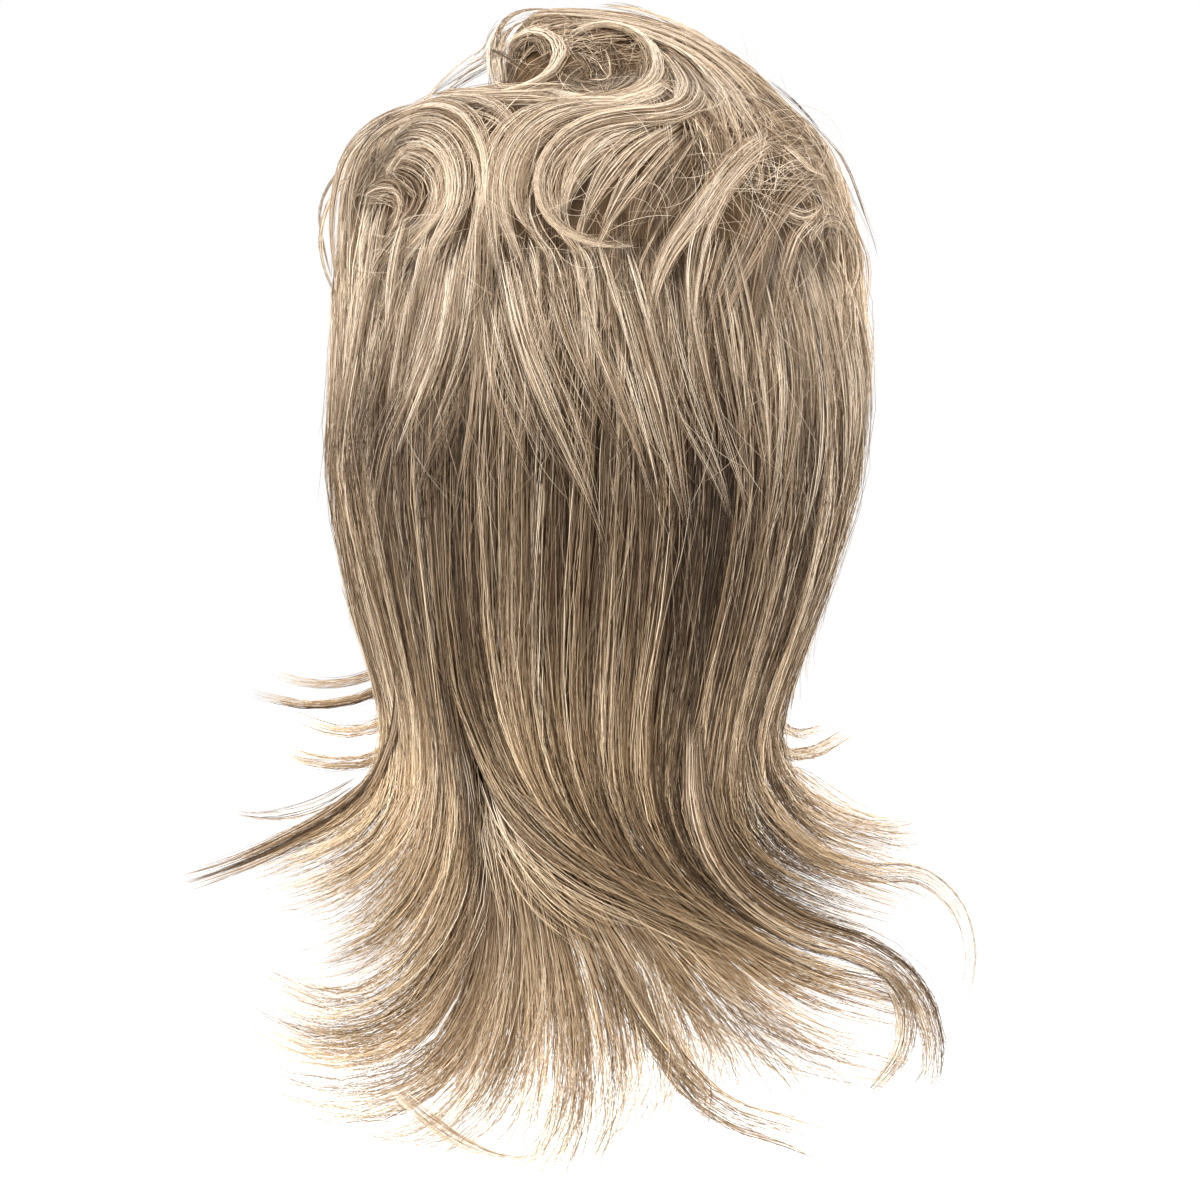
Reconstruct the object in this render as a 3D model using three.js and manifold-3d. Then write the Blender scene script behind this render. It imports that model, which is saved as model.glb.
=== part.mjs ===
// Layered mullet wig: a cap of sewn panels, the masses of hair that stand on it, and the locks that show.
// Millimetres. The origin is the top of the head inside the cap, +Z is up, the face looks along -Y.
import * as THREE from 'three';
import Module from 'manifold-3d';

const wasm = await Module();
wasm.setup();

// Clearances and walls
const GAP = 0.35;
const CAP_WALL = 1.5;
const CAP_CLEARANCE = 0.9;
const CAP_TOP_SEAM = -26;
const FRINGE_WALL = 7;
const SIDE_WALL = 9;

// The head that the cap fits
const HEAD = { half: 76, back: 97, front: 95, height: 92, roundness: 2.3 };
const BELOW_HEAD_STEP = 70;

// The outer form of the hair above the level of the ears
const CROWN = { half: 100, back: 122, front: 112, height: 105, level: 95, roundness: 3.3, turn: 96 };

// Locks are charted on a back view: a column to the right and a row down for every step of the chart.
const CHART = { step: 0.38, middle: 600, crown: 110 };

// Mesh resolution
const CAP_GRID = { rows: 8, columns: 36 };
const CROWN_GRID = { rows: 7, columns: 36 };
const BACK_GRID = { rows: 17, columns: 40 };
const FRINGE_GRID = { rows: 5, columns: 14 };
const SIDE_GRID = { rows: 9, columns: 5 };
const QUIFF_ARCH = 10;
const LOCK_GRID = { path: 14, steps: 9, sides: 6 };

// How a lock swells from its root and tapers to its tip, as shares of its length and width
const LOCK_SHAPE = { root: 0.6, swell: 1.6, taper: 0.55, fall: 0.8, tip: 0.14 };
const LEAST_OUTWARD = 20;

const DEGREE = Math.PI / 180;
const FULL_TURN = 360 * DEGREE;

// Outer form of the hair below the level of the ears, a row for each level: mm below the crown, half
// width, sideways shift, reach to the back and front, and how far round the long hair goes in degrees.
const OUTER = table(['down', 'half', 'shift', 'back', 'front', 'turn'], [
  [95, 100, 0, 122, 112, 96],
  [110, 99.5, 1, 122, 110, 96],
  [129, 98.5, 2, 120, 108, 96],
  [148, 95.5, 3, 115, 104, 96],
  [167, 91, 3, 108, 98, 96],
  [186, 85.5, 4, 101, 92, 96],
  [205, 79, 5, 94, 86, 95],
  [224, 74.5, 6, 89, 80, 94],
  [236, 73.7, 7, 87, 78, 93],
  [247, 74.5, 7, 87, 78, 92],
  [258, 79, 6, 89, 78, 90],
  [270, 88, 4, 93, 78, 87],
  [285, 100, 2, 96, 78, 82],
  [305, 110, 0, 100, 78, 76],
  [325, 113, 1, 104, 78, 72],
  [345, 109, 3, 108, 78, 70],
  [365, 100, 5, 112, 78, 68],
  [385, 90, 5, 115, 78, 66],
  [405, 82, 5, 118, 78, 65],
]);

// The hollow inside: the lower head, the neck, and the underside of the flared ends.
const HOLLOW = table(['down', 'half', 'back'], [
  [92, 76, 97],
  [120, 74.5, 93],
  [150, 69, 83],
  [172, 63.5, 73],
  [205, 57, 64],
  [236, 55, 61],
  [250, 57, 63],
  [262, 64, 68],
  [275, 76, 76],
  [290, 90, 84],
  [305, 99, 89],
  [325, 104, 95.5],
  [345, 102, 101],
  [365, 94.5, 106],
  [385, 85, 109.5],
  [405, 77, 113],
]);

// Edges that run around the head, by the angle from the middle of the back
const CAP_RIM = table(['angle', 'down'], [
  [0, 172],
  [50, 158],
  [85, 120],
  [110, 100],
  [140, 68],
  [180, 50],
]);
const CROWN_RIM = table(['angle', 'down'], [
  [0, 66],
  [60, 62],
  [100, 58],
  [140, 50],
  [180, 44],
]);
const CROWN_TIPS = { waves: 9, height: 5, start: 0.6 };
const UNDER_CROWN = 9;
const CROWN_OVERHANG = 1.2;
const ENDS_TURN = 66;
const HAIR_ENDS = table(['angle', 'down'], [
  [-66, 352],
  [-50, 372],
  [-34, 378],
  [-18, 372],
  [-6, 392],
  [8, 400],
  [24, 394],
  [42, 388],
  [56, 362],
  [66, 340],
]);
const FRINGE = { halfAngle: 46, ends: 86, scallop: 7, scallops: 9 };
const SIDE = { backAngle: 95, topFront: 133, bottomFront: 112, ends: 206, thin: 0.5 };

// Combed relief of the big masses: waves around the head, their height, and how they lean going down
const BACK_RELIEF = [
  { waves: 15, height: 1.3, lean: 0.012, start: 0.4 },
  { waves: 9, height: 1.7, lean: -0.009, start: 1.9 },
];
const CROWN_RELIEF = [
  { waves: 7, height: 1.6, lean: 0.06, start: 0.8 },
  { waves: 11, height: 1.1, lean: -0.05, start: 2.6 },
];
const RELIEF_TOP = { from: 62, to: 110 };
const RELIEF_INSIDE = { from: 255, to: 290 };
const NECK = { from: 172, to: 205 };

// The swept-up front hair, a row for each place across: its top, and where its front and back stand.
const QUIFF_FOOT = -24;
const QUIFF = table(['across', 'top', 'front', 'back'], [
  [-82, -2, -40, 24],
  [-72, 10, -52, 30],
  [-56, 21, -62, 35],
  [-34, 32, -68, 38],
  [-10, 38, -70, 39],
  [16, 39, -66, 37],
  [33, 36, -56, 31],
  [40, 24, -42, 20],
]);
const QUIFF_PLACES = [-82, -72, -56, -34, -10, 16, 33, 40];

// Locks, each with its half width, half thickness and lift off the hair below it, and its path on the
// chart from root to tip. A third number is how far back the lock stands where it hangs free, and a
// negative one keeps it in front of the ears.
const LOCKS = {
  quiff_left_curl: { wide: 6.5, thick: 3, lift: 1.5, path: [
    [560, 60], [548, 80], [520, 88], [500, 74], [497, 50], [508, 28], [530, 20],
  ] },
  quiff_ring_curl: { wide: 7, thick: 3, lift: 1.8, path: [
    [580, 64], [576, 40], [600, 28], [630, 40], [650, 62], [646, 88], [618, 105], [575, 106], [530, 98],
  ] },
  quiff_sweep: { wide: 9, thick: 3, lift: 1, path: [
    [560, 14], [630, 24], [690, 42], [740, 66], [768, 96], [776, 126],
  ] },
  quiff_under_sweep: { wide: 7, thick: 3, lift: 1.4, path: [
    [676, 54], [706, 76], [728, 102], [740, 130],
  ] },
  s_lock: { wide: 6, thick: 3, lift: 1.5, path: [
    [668, 62], [688, 82], [692, 106], [672, 124], [640, 128], [608, 132],
  ] },
  right_shoulder_lock: { wide: 6.5, thick: 3, lift: 1, path: [
    [792, 112], [818, 130], [832, 156], [838, 188],
  ] },
  left_swirl: { wide: 9, thick: 3.5, lift: 1.5, path: [
    [364, 196], [372, 158], [400, 134], [438, 130], [468, 152], [476, 190], [464, 230], [438, 262],
  ] },
  left_swirl_inner: { wide: 6, thick: 3, lift: 1.2, path: [
    [398, 174], [416, 158], [434, 172], [436, 204], [420, 240],
  ] },
  left_edge_lock: { wide: 4.5, thick: 2.5, lift: 1, path: [
    [358, 176, 26], [336, 204, 22], [327, 240, 20], [332, 274, 20], [344, 304, 24],
  ] },
  centre_swirl: { wide: 9, thick: 3.5, lift: 1.5, path: [
    [592, 136], [556, 146], [528, 170], [520, 204], [540, 236], [580, 252], [622, 254], [652, 244],
  ] },
  centre_swirl_inner: { wide: 8, thick: 3, lift: 1.2, path: [
    [650, 152], [618, 176], [590, 204], [572, 228],
  ] },
  right_lock_inner: { wide: 8, thick: 3, lift: 1.4, path: [
    [738, 190], [704, 214], [672, 246], [656, 286], [660, 330],
  ] },
  right_lock_outer: { wide: 8, thick: 3, lift: 1.4, path: [
    [796, 184], [772, 218], [748, 256], [728, 296], [712, 332],
  ] },
  right_edge_curl: { wide: 4, thick: 2.5, lift: 1.2, path: [
    [798, 262], [808, 238], [826, 226], [840, 240], [836, 264],
  ] },
  right_edge_lock: { wide: 4.5, thick: 2.5, lift: 1, path: [
    [836, 282], [836, 318], [844, 356], [846, 396],
  ] },
  left_tip_lock: { wide: 8, thick: 2.5, lift: 0.8, path: [[436, 290], [426, 340], [412, 395], [392, 452]] },
  centre_left_tip_lock: { wide: 8, thick: 2.5, lift: 0.8, path: [
    [520, 290], [538, 370], [564, 448], [616, 560],
  ] },
  centre_tip_lock: { wide: 6.5, thick: 2.5, lift: 0.8, path: [
    [652, 352], [662, 410], [676, 478], [690, 548],
  ] },
  right_tip_lock: { wide: 8, thick: 2.5, lift: 0.8, path: [[786, 320], [788, 400], [778, 500], [744, 580]] },
  right_edge_tip_lock: { wide: 5, thick: 2.5, lift: 0.8, path: [
    [836, 410], [834, 480], [820, 550], [796, 620],
  ] },
  left_flick: { wide: 6, thick: 3.5, lift: 1, path: [
    [400, 650], [402, 705], [394, 748, 34], [372, 786, 40], [338, 814, 40], [298, 836, 38],
    [250, 859, 36], [205, 875, 36], [172, 884, 36],
  ] },
  left_flick_branch: { wide: 3, thick: 2, lift: 1, path: [
    [366, 776, 38], [328, 800, 36], [290, 812, 34], [252, 814, 32], [222, 806, 32],
  ] },
  left_sweep_upper: { wide: 8, thick: 3, lift: 1.2, path: [
    [430, 700], [440, 760], [426, 822], [392, 864, 56], [344, 896, 48], [300, 914, 44],
  ] },
  left_sweep_middle: { wide: 8, thick: 3, lift: 1.2, path: [
    [454, 720], [462, 790], [454, 850], [420, 906, 74], [368, 944, 62], [314, 960, 54], [272, 962, 52],
  ] },
  left_sweep_lower: { wide: 6.5, thick: 2.5, lift: 1, path: [
    [474, 790], [476, 860], [450, 936], [400, 992, 88], [336, 1024, 76], [272, 1040, 68],
  ] },
  left_sweep_lowest: { wide: 6.5, thick: 2.5, lift: 1, path: [
    [492, 850], [492, 920], [474, 986], [432, 1048], [374, 1088, 94], [304, 1106, 82], [232, 1098, 76],
  ] },
  bottom_left_lock: { wide: 6.5, thick: 2.5, lift: 1, path: [
    [526, 880], [530, 950], [518, 1020], [490, 1080], [446, 1128, 122], [390, 1154, 112], [332, 1150, 104],
  ] },
  bottom_centre_lock: { wide: 6.5, thick: 2.5, lift: 1, path: [
    [572, 910], [590, 970], [598, 1040], [590, 1104], [570, 1150, 138], [586, 1186, 140],
  ] },
  bottom_curl: { wide: 6, thick: 2.5, lift: 1, path: [
    [630, 930], [652, 990], [656, 1046], [642, 1100, 136], [612, 1140, 140],
  ] },
  cross_sweep: { wide: 7, thick: 3, lift: 1.4, path: [
    [480, 720], [504, 786], [546, 836], [602, 880], [662, 914], [726, 946],
  ] },
  right_sweep: { wide: 8, thick: 3, lift: 1.2, path: [
    [606, 730], [610, 800], [642, 866], [700, 920], [764, 970], [812, 1024, 82],
  ] },
  right_loop: { wide: 6.5, thick: 3, lift: 1.2, path: [
    [690, 710], [696, 800], [726, 872], [790, 922, 74], [856, 944, 60], [904, 976, 54], [928, 1024, 54],
    [928, 1070, 56], [902, 1106, 60],
  ] },
  right_loop_branch: { wide: 3, thick: 2, lift: 1, path: [
    [888, 972, 59], [904, 1006, 60], [894, 1050, 62], [858, 1094, 64],
  ] },
  right_outer_loop: { wide: 4, thick: 2, lift: 1, path: [
    [744, 730], [762, 792], [804, 846, 58], [862, 868, 48], [916, 872, 42], [954, 904, 40],
    [968, 954, 40], [958, 1002, 42], [940, 1040, 46],
  ] },
  right_flick: { wide: 6, thick: 3, lift: 1, path: [
    [770, 730], [784, 776, 40], [828, 808, 40], [880, 828, 36], [934, 834, 34],
  ] },
  low_right_sweep: { wide: 6, thick: 2.5, lift: 1, path: [
    [700, 990], [766, 1030], [844, 1054, 84], [904, 1066, 76], [954, 1102, 74],
  ] },
  bottom_right_sweep: { wide: 6, thick: 2.5, lift: 1, path: [
    [672, 960], [694, 1024], [730, 1078], [780, 1106, 108], [828, 1128, 104], [844, 1156, 104],
  ] },
  left_front_flick_top: { wide: 3, thick: 2, lift: 1, path: [
    [391, 610, -24], [388, 658, -30], [364, 684, -36], [318, 686, -42], [272, 676, -46],
  ] },
  left_front_flick_upper: { wide: 4.5, thick: 2.5, lift: 1, path: [
    [392, 616, -12], [389, 668, -16], [366, 698, -20], [312, 704, -24], [250, 694, -28],
  ] },
  left_front_flick_lower: { wide: 4, thick: 2, lift: 1, path: [
    [398, 630, -8], [397, 690, -8], [380, 728, -8], [338, 734, -10], [288, 716, -14],
  ] },
  left_front_flick_low: { wide: 4, thick: 2, lift: 1, path: [
    [400, 640, -4], [400, 706, -3], [388, 752, -3], [340, 764, -4], [274, 750, -6],
  ] },
  right_front_flick_upper: { wide: 4, thick: 2, lift: 1, path: [
    [806, 620, -14], [792, 680, -18], [786, 722, -22], [808, 736, -26], [842, 718, -30],
  ] },
  right_front_flick_lower: { wide: 4, thick: 2, lift: 1, path: [
    [800, 640, -6], [786, 704, -6], [786, 748, -6], [818, 752, -10], [866, 722, -14],
  ] },
};

// A table that reads between its rows: the first column is the place, the rest follow a smooth curve.
function table(columns, rows) {
  const slope = (i, c) => {
    const before = rows[Math.max(i - 1, 0)];
    const after = rows[Math.min(i + 1, rows.length - 1)];
    return (after[c] - before[c]) / (after[0] - before[0]);
  };
  return (wanted) => {
    const place = Math.min(Math.max(wanted, rows[0][0]), rows[rows.length - 1][0]);
    const above = rows.findIndex((row) => row[0] >= place);
    const i = Math.max(above - 1, 0);
    const span = rows[i + 1][0] - rows[i][0];
    const t = (place - rows[i][0]) / span;
    const result = {};
    columns.forEach((name, c) => {
      const low = rows[i][c] * (1 + 2 * t) * (1 - t) ** 2 + slope(i, c) * span * t * (1 - t) ** 2;
      const high = rows[i + 1][c] * t * t * (3 - 2 * t) - slope(i + 1, c) * span * t * t * (1 - t);
      result[name] = low + high;
    });
    return result;
  };
}

function smooth(from, to, value) {
  return THREE.MathUtils.smoothstep(value, from, to);
}

// Outer form of the hair at one level
function outerAt(down) {
  if (down >= CROWN.level) return OUTER(down);
  const rise = Math.min((CROWN.level - down) / CROWN.height, 1);
  const size = (1 - rise ** CROWN.roundness) ** (1 / CROWN.roundness);
  return {
    half: CROWN.half * size,
    back: CROWN.back * size,
    front: CROWN.front * size,
    shift: 0,
    turn: CROWN.turn,
  };
}

// The hollow that the head and neck fill, at one level
function hollowAt(down) {
  if (down >= HEAD.height) return HOLLOW(down);
  const rise = (HEAD.height - down) / HEAD.height;
  const size = (1 - rise ** HEAD.roundness) ** (1 / HEAD.roundness);
  return { half: HEAD.half * size, back: HEAD.back * size };
}

function relief(waves, angle, down) {
  return waves.reduce((sum, w) => sum + w.height * Math.sin(w.waves * angle + w.lean * down + w.start), 0);
}

// A point of the head form by its angle from the top and its angle around, grown by a distance.
// Past the widest level the angle from the top goes on as a distance straight down.
function headPoint(tilt, angle, grow) {
  const past = tilt - 90 * DEGREE;
  const power = 2 / HEAD.roundness;
  const upper = past <= 0;
  const ring = upper ? Math.sin(tilt) ** power : 1;
  const level = HEAD.height + past * BELOW_HEAD_STEP;
  const size = upper ? HEAD : { ...HOLLOW(level), front: HEAD.front };
  const reach = Math.cos(angle) > 0 ? size.back : size.front;
  return new THREE.Vector3(
    (size.half + grow) * ring * Math.sin(angle),
    (reach + grow) * ring * Math.cos(angle),
    upper ? (HEAD.height + grow) * Math.cos(tilt) ** power - HEAD.height : -level,
  );
}

function headTilt(down) {
  const rise = (HEAD.height - down) / HEAD.height;
  if (rise > 0) return Math.acos(rise ** (HEAD.roundness / 2));
  return 90 * DEGREE + (down - HEAD.height) / BELOW_HEAD_STEP;
}

// Lower edge of the short crown hair, which ends in broad pointed tips
function crownEdge(angle) {
  const tips = CROWN_TIPS.height * Math.asin(Math.sin(CROWN_TIPS.waves * angle + CROWN_TIPS.start));
  return CROWN_RIM(rimAngle(angle)).down + tips;
}

function rimAngle(angle) {
  const turned = Math.abs(angle) / DEGREE;
  return turned > 180 ? 360 - turned : turned;
}

// Solids from skins

function solid(points, faces) {
  const vertProperties = new Float32Array(points.flatMap((p) => [p.x, p.y, p.z]));
  const volume = faces.reduce((sum, [a, b, c]) => {
    const normal = new THREE.Vector3().crossVectors(points[b], points[c]);
    return sum + points[a].dot(normal);
  }, 0);
  const outward = volume > 0 ? faces : faces.map(([a, b, c]) => [a, c, b]);
  const mesh = new wasm.Mesh({ numProp: 3, vertProperties, triVerts: new Uint32Array(outward.flat()) });
  return new wasm.Manifold(mesh);
}

// A skin over closed rings of points, one after the other, with a strip of faces at each end.
function skin(rings) {
  const sides = rings[0].length;
  const last = (rings.length - 1) * sides;
  const faces = [];
  for (let i = 0; i < last; i += sides) {
    for (let k = 0; k < sides; k += 1) {
      const next = (k + 1) % sides;
      faces.push([i + k, i + next, i + sides + next], [i + k, i + sides + next, i + sides + k]);
    }
  }
  for (let k = 0; k < sides / 2 - 1; k += 1) {
    const other = sides - 1 - k;
    faces.push([k, other, other - 1], [k, other - 1, k + 1]);
    faces.push([last + k, last + other - 1, last + other], [last + k, last + k + 1, last + other - 1]);
  }
  return solid(rings.flat(), faces);
}

// A dome with an outer and an inner skin that meet along the rim.
function dome(outside, inside, grid) {
  const points = [];
  const faces = [];
  const lay = (place) => {
    const top = points.length;
    points.push(place(0, 0));
    for (let i = 1; i <= grid.rows; i += 1) {
      for (let j = 0; j < grid.columns; j += 1) {
        points.push(place(i / grid.rows, (j / grid.columns) * FULL_TURN));
      }
    }
    return (i, j) => (i === 0 ? top : top + 1 + (i - 1) * grid.columns + (j % grid.columns));
  };
  const outer = lay(outside);
  const inner = lay(inside);
  for (let j = 0; j < grid.columns; j += 1) {
    faces.push([outer(0, j), outer(1, j), outer(1, j + 1)], [inner(0, j), inner(1, j + 1), inner(1, j)]);
    for (let i = 1; i < grid.rows; i += 1) {
      faces.push([outer(i, j), outer(i + 1, j), outer(i + 1, j + 1)]);
      faces.push([outer(i, j), outer(i + 1, j + 1), outer(i, j + 1)]);
      faces.push([inner(i, j), inner(i + 1, j + 1), inner(i + 1, j)]);
      faces.push([inner(i, j), inner(i, j + 1), inner(i + 1, j + 1)]);
    }
    faces.push([outer(grid.rows, j), inner(grid.rows, j), inner(grid.rows, j + 1)]);
    faces.push([outer(grid.rows, j), inner(grid.rows, j + 1), outer(grid.rows, j + 1)]);
  }
  return solid(points, faces);
}

// A bent wall: a ring for each level goes along its outside one way and back along its inside.
function wall(outside, inside, grid) {
  const rings = [];
  for (let i = 0; i <= grid.rows; i += 1) {
    const across = Array.from({ length: grid.columns + 1 }, (_, j) => j / grid.columns);
    const out = across.map((u) => outside(i / grid.rows, u));
    const back = across.map((u) => inside(i / grid.rows, u)).reverse();
    rings.push([...out, ...back]);
  }
  return skin(rings);
}

// The big pieces. Each takes a distance to grow by, for cutting room out of what lies on it.

function cap() {
  const place = (grow) => (t, angle) => headPoint(t * headTilt(CAP_RIM(rimAngle(angle)).down), angle, grow);
  return dome(place(CAP_WALL), place(0), CAP_GRID);
}

// The cap is sewn from a top panel and four panels that hang from it, with seams towards the temples.
function capPanels() {
  const whole = cap();
  const below = whole.trimByPlane([0, 0, -1], GAP / 2 - CAP_TOP_SEAM);
  const around = (angle) => [-1, 1].reduce((panel, turn) => {
    const inward = angle + turn * 45 * DEGREE;
    return panel.trimByPlane([Math.sin(inward), Math.cos(inward), 0], GAP / 2);
  }, below);
  return {
    cap_top: whole.trimByPlane([0, 0, 1], CAP_TOP_SEAM + GAP / 2),
    cap_back: around(0),
    cap_left: around(90 * DEGREE),
    cap_front: around(180 * DEGREE),
    cap_right: around(270 * DEGREE),
  };
}

function crownHair(grow) {
  const power = 2 / CROWN.roundness;
  const rim = (angle) => crownEdge(angle) + grow;
  const outside = (t, angle) => {
    const rise = (CROWN.level - rim(angle)) / CROWN.height;
    const tilt = t * Math.acos(rise ** (CROWN.roundness / 2));
    const down = CROWN.level - CROWN.height * Math.cos(tilt) ** power;
    const ring = Math.sin(tilt) ** power;
    const wave = relief(CROWN_RELIEF, angle, down) * Math.sin(Math.PI * t);
    const more = grow + CROWN_OVERHANG * t + wave;
    const reach = Math.cos(angle) > 0 ? CROWN.back : CROWN.front;
    return new THREE.Vector3(
      (CROWN.half + more) * ring * Math.sin(angle),
      (reach + more) * ring * Math.cos(angle),
      grow * (1 - t) - down,
    );
  };
  const inside = (t, angle) => headPoint(t * headTilt(rim(angle)), angle, CAP_WALL + CAP_CLEARANCE - grow);
  return dome(outside, inside, CROWN_GRID);
}

function backHair(grow) {
  const place = (t, u) => {
    const side = 2 * u - 1;
    const top = CROWN_RIM(rimAngle(side * CROWN.turn * DEGREE)).down - UNDER_CROWN - grow;
    const down = THREE.MathUtils.lerp(top, HAIR_ENDS(side * ENDS_TURN).down + grow, t);
    const { turn } = outerAt(down);
    const fades = smooth(RELIEF_TOP.from, RELIEF_TOP.to, down);
    const wave = relief(BACK_RELIEF, side * turn * DEGREE, down) * fades;
    return { down, angle: side * (turn + grow) * DEGREE, wave };
  };
  const point = (form, down, angle, more) => {
    const widest = Math.sin(Math.min(form.turn, 90) * DEGREE);
    const reach = Math.cos(angle) > 0 ? form.back : form.front;
    const x = form.shift + ((form.half + more) * Math.sin(angle)) / widest;
    return new THREE.Vector3(x, (reach + more) * Math.cos(angle), -down);
  };
  const outside = (t, u) => {
    const { down, angle, wave } = place(t, u);
    return point(outerAt(down), down, angle, grow + wave);
  };
  const inside = (t, u) => {
    const { down, angle, wave } = place(t, u);
    const { shift, turn } = outerAt(down);
    const moved = shift * smooth(NECK.from, NECK.to, down);
    const form = { ...hollowAt(down), front: HEAD.front, shift: moved, turn };
    const follows = smooth(RELIEF_INSIDE.from, RELIEF_INSIDE.to, down);
    return point(form, down, angle, CAP_WALL + CAP_CLEARANCE - grow + follows * wave);
  };
  return wall(outside, inside, BACK_GRID);
}

function fringe(grow) {
  const place = (t, u) => {
    const angle = (180 + (2 * u - 1) * (FRINGE.halfAngle + grow)) * DEGREE;
    const top = CROWN_RIM(rimAngle(angle)).down - UNDER_CROWN - grow;
    const ends = FRINGE.ends + grow + FRINGE.scallop * Math.sin(FRINGE.scallops * u * Math.PI);
    return { down: THREE.MathUtils.lerp(top, ends, t), angle };
  };
  const at = (inset) => (t, u) => {
    const { down, angle } = place(t, u);
    const form = outerAt(down);
    const x = (form.half - inset) * Math.sin(angle);
    return new THREE.Vector3(x, (form.front - inset) * Math.cos(angle), -down);
  };
  return wall(at(-grow), at(FRINGE_WALL + grow), FRINGE_GRID);
}

function side(sign) {
  return (grow) => {
    const place = (t, u) => {
      const front = THREE.MathUtils.lerp(SIDE.topFront, SIDE.bottomFront, t) + grow;
      const angle = THREE.MathUtils.lerp(SIDE.backAngle - grow, front, u) * DEGREE;
      const top = CROWN_RIM(rimAngle(angle)).down - UNDER_CROWN - grow;
      return { down: THREE.MathUtils.lerp(top, SIDE.ends + grow, t), angle };
    };
    const at = (inset, taper) => (t, u) => {
      const { down, angle } = place(t, u);
      const form = outerAt(down);
      const depth = inset * (1 - taper * t);
      const x = form.shift + sign * (form.half - depth) * Math.sin(angle);
      return new THREE.Vector3(x, (form.front - depth) * Math.cos(angle), -down);
    };
    return wall(at(-grow, 0), at(SIDE_WALL + grow, SIDE.thin), SIDE_GRID);
  };
}

function quiff(grow) {
  const rings = QUIFF_PLACES.map((across, i) => {
    const row = QUIFF(across);
    const end = i === 0 ? -grow : (i === QUIFF_PLACES.length - 1) * grow;
    const middle = (row.front + row.back) / 2;
    return Array.from({ length: QUIFF_ARCH }, (_, k) => {
      const turn = (k / (QUIFF_ARCH - 1)) * Math.PI;
      const y = middle + ((row.back - row.front) / 2 + grow) * Math.cos(turn);
      const z = QUIFF_FOOT + (row.top - QUIFF_FOOT + grow) * Math.sin(turn);
      return new THREE.Vector3(across + end, y, z);
    });
  });
  return skin(rings);
}

// Locks

// How far back the hair reaches behind a point of the back view
function seat(x, z) {
  const form = outerAt(-z);
  const widest = Math.sin(Math.min(form.turn, 90) * DEGREE);
  const sideways = ((x - form.shift) / form.half) * widest;
  const wave = relief(BACK_RELIEF, Math.asin(Math.min(Math.max(sideways, -1), 1)), -z);
  const back = form.back + wave * smooth(RELIEF_TOP.from, RELIEF_TOP.to, -z);
  const body = Math.abs(sideways) < 1 ? back * Math.sqrt(1 - sideways ** 2) : 0;
  const row = QUIFF(x);
  const rise = (z - QUIFF_FOOT) / (row.top - QUIFF_FOOT);
  if (rise <= 0 || rise >= 1) return body;
  const arch = (row.front + row.back) / 2 + ((row.back - row.front) / 2) * Math.sqrt(1 - rise ** 2);
  return Math.max(body, arch);
}

// The direction away from the hair below
function outward(p) {
  const form = outerAt(-p.z);
  const rise = Math.max((CROWN.level + p.z) / CROWN.height, 0);
  return new THREE.Vector3(
    (p.x - form.shift) / CROWN.half ** 2,
    Math.max(p.y, LEAST_OUTWARD) / CROWN.back ** 2,
    rise ** (CROWN.roundness - 1) / CROWN.height,
  ).normalize();
}

function lock({ wide, thick, lift, path }) {
  const charted = path.map(([column, row, depth]) => {
    const x = (CHART.middle - column) * CHART.step;
    const z = (CHART.crown - row) * CHART.step;
    return new THREE.Vector3(x, depth ?? seat(x, z) + lift, z);
  });
  const inFront = charted[0].y < 0;
  const flat = new THREE.CatmullRomCurve3(charted, false, 'centripetal').getSpacedPoints(LOCK_GRID.path);
  const points = flat.map((p) => (inFront ? p : p.setY(Math.max(p.y, seat(p.x, p.z) + lift))));
  const curve = new THREE.CatmullRomCurve3(points, false, 'centripetal');
  return (grow) => {
    const rings = Array.from({ length: LOCK_GRID.steps + 1 }, (_, i) => {
      const t = i / LOCK_GRID.steps;
      const tangent = curve.getTangentAt(t);
      const centre = curve.getPointAt(t);
      const ending = i === 0 ? -grow : (i === LOCK_GRID.steps) * grow;
      centre.addScaledVector(tangent, ending);
      const across = new THREE.Vector3().crossVectors(tangent, outward(centre)).normalize();
      const up = new THREE.Vector3().crossVectors(across, tangent);
      const opening = Math.min(1, LOCK_SHAPE.root + LOCK_SHAPE.swell * t);
      const closing = Math.min(1, (1 - t) / LOCK_SHAPE.taper) ** LOCK_SHAPE.fall;
      const full = opening * THREE.MathUtils.lerp(LOCK_SHAPE.tip, 1, closing);
      return Array.from({ length: LOCK_GRID.sides }, (__, k) => {
        const turn = (k / LOCK_GRID.sides) * FULL_TURN;
        return centre.clone()
          .addScaledVector(across, (wide * full + grow) * Math.cos(turn))
          .addScaledVector(up, (thick * full + grow) * Math.sin(turn));
      });
    });
    return skin(rings);
  };
}

// Assembly: each piece is cut back from everything laid before it, by the gap.

function near(a, b) {
  const one = a.boundingBox();
  const two = b.boundingBox();
  return [0, 1, 2].every((k) => one.min[k] < two.max[k] && two.min[k] < one.max[k]);
}

function largest(body) {
  return body.decompose().reduce((best, b) => (b.volume() > best.volume() ? b : best));
}

const capMaterial = new THREE.MeshStandardMaterial({ color: 0x5b4a3c, roughness: 0.85, metalness: 0 });
const hairMaterial = new THREE.MeshStandardMaterial({ color: 0xa58a68, roughness: 0.5, metalness: 0 });
const lightHairMaterial = new THREE.MeshStandardMaterial({ color: 0xcdb48c, roughness: 0.45, metalness: 0 });

const wig = new THREE.Group();

function place(name, body, material) {
  const { vertProperties, triVerts } = body.getMesh();
  const geometry = new THREE.BufferGeometry();
  geometry.setAttribute('position', new THREE.BufferAttribute(vertProperties, 3));
  geometry.setIndex(new THREE.BufferAttribute(triVerts, 1));
  geometry.computeVertexNormals();
  const mesh = new THREE.Mesh(geometry, material);
  mesh.name = name;
  wig.add(mesh);
}

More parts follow.
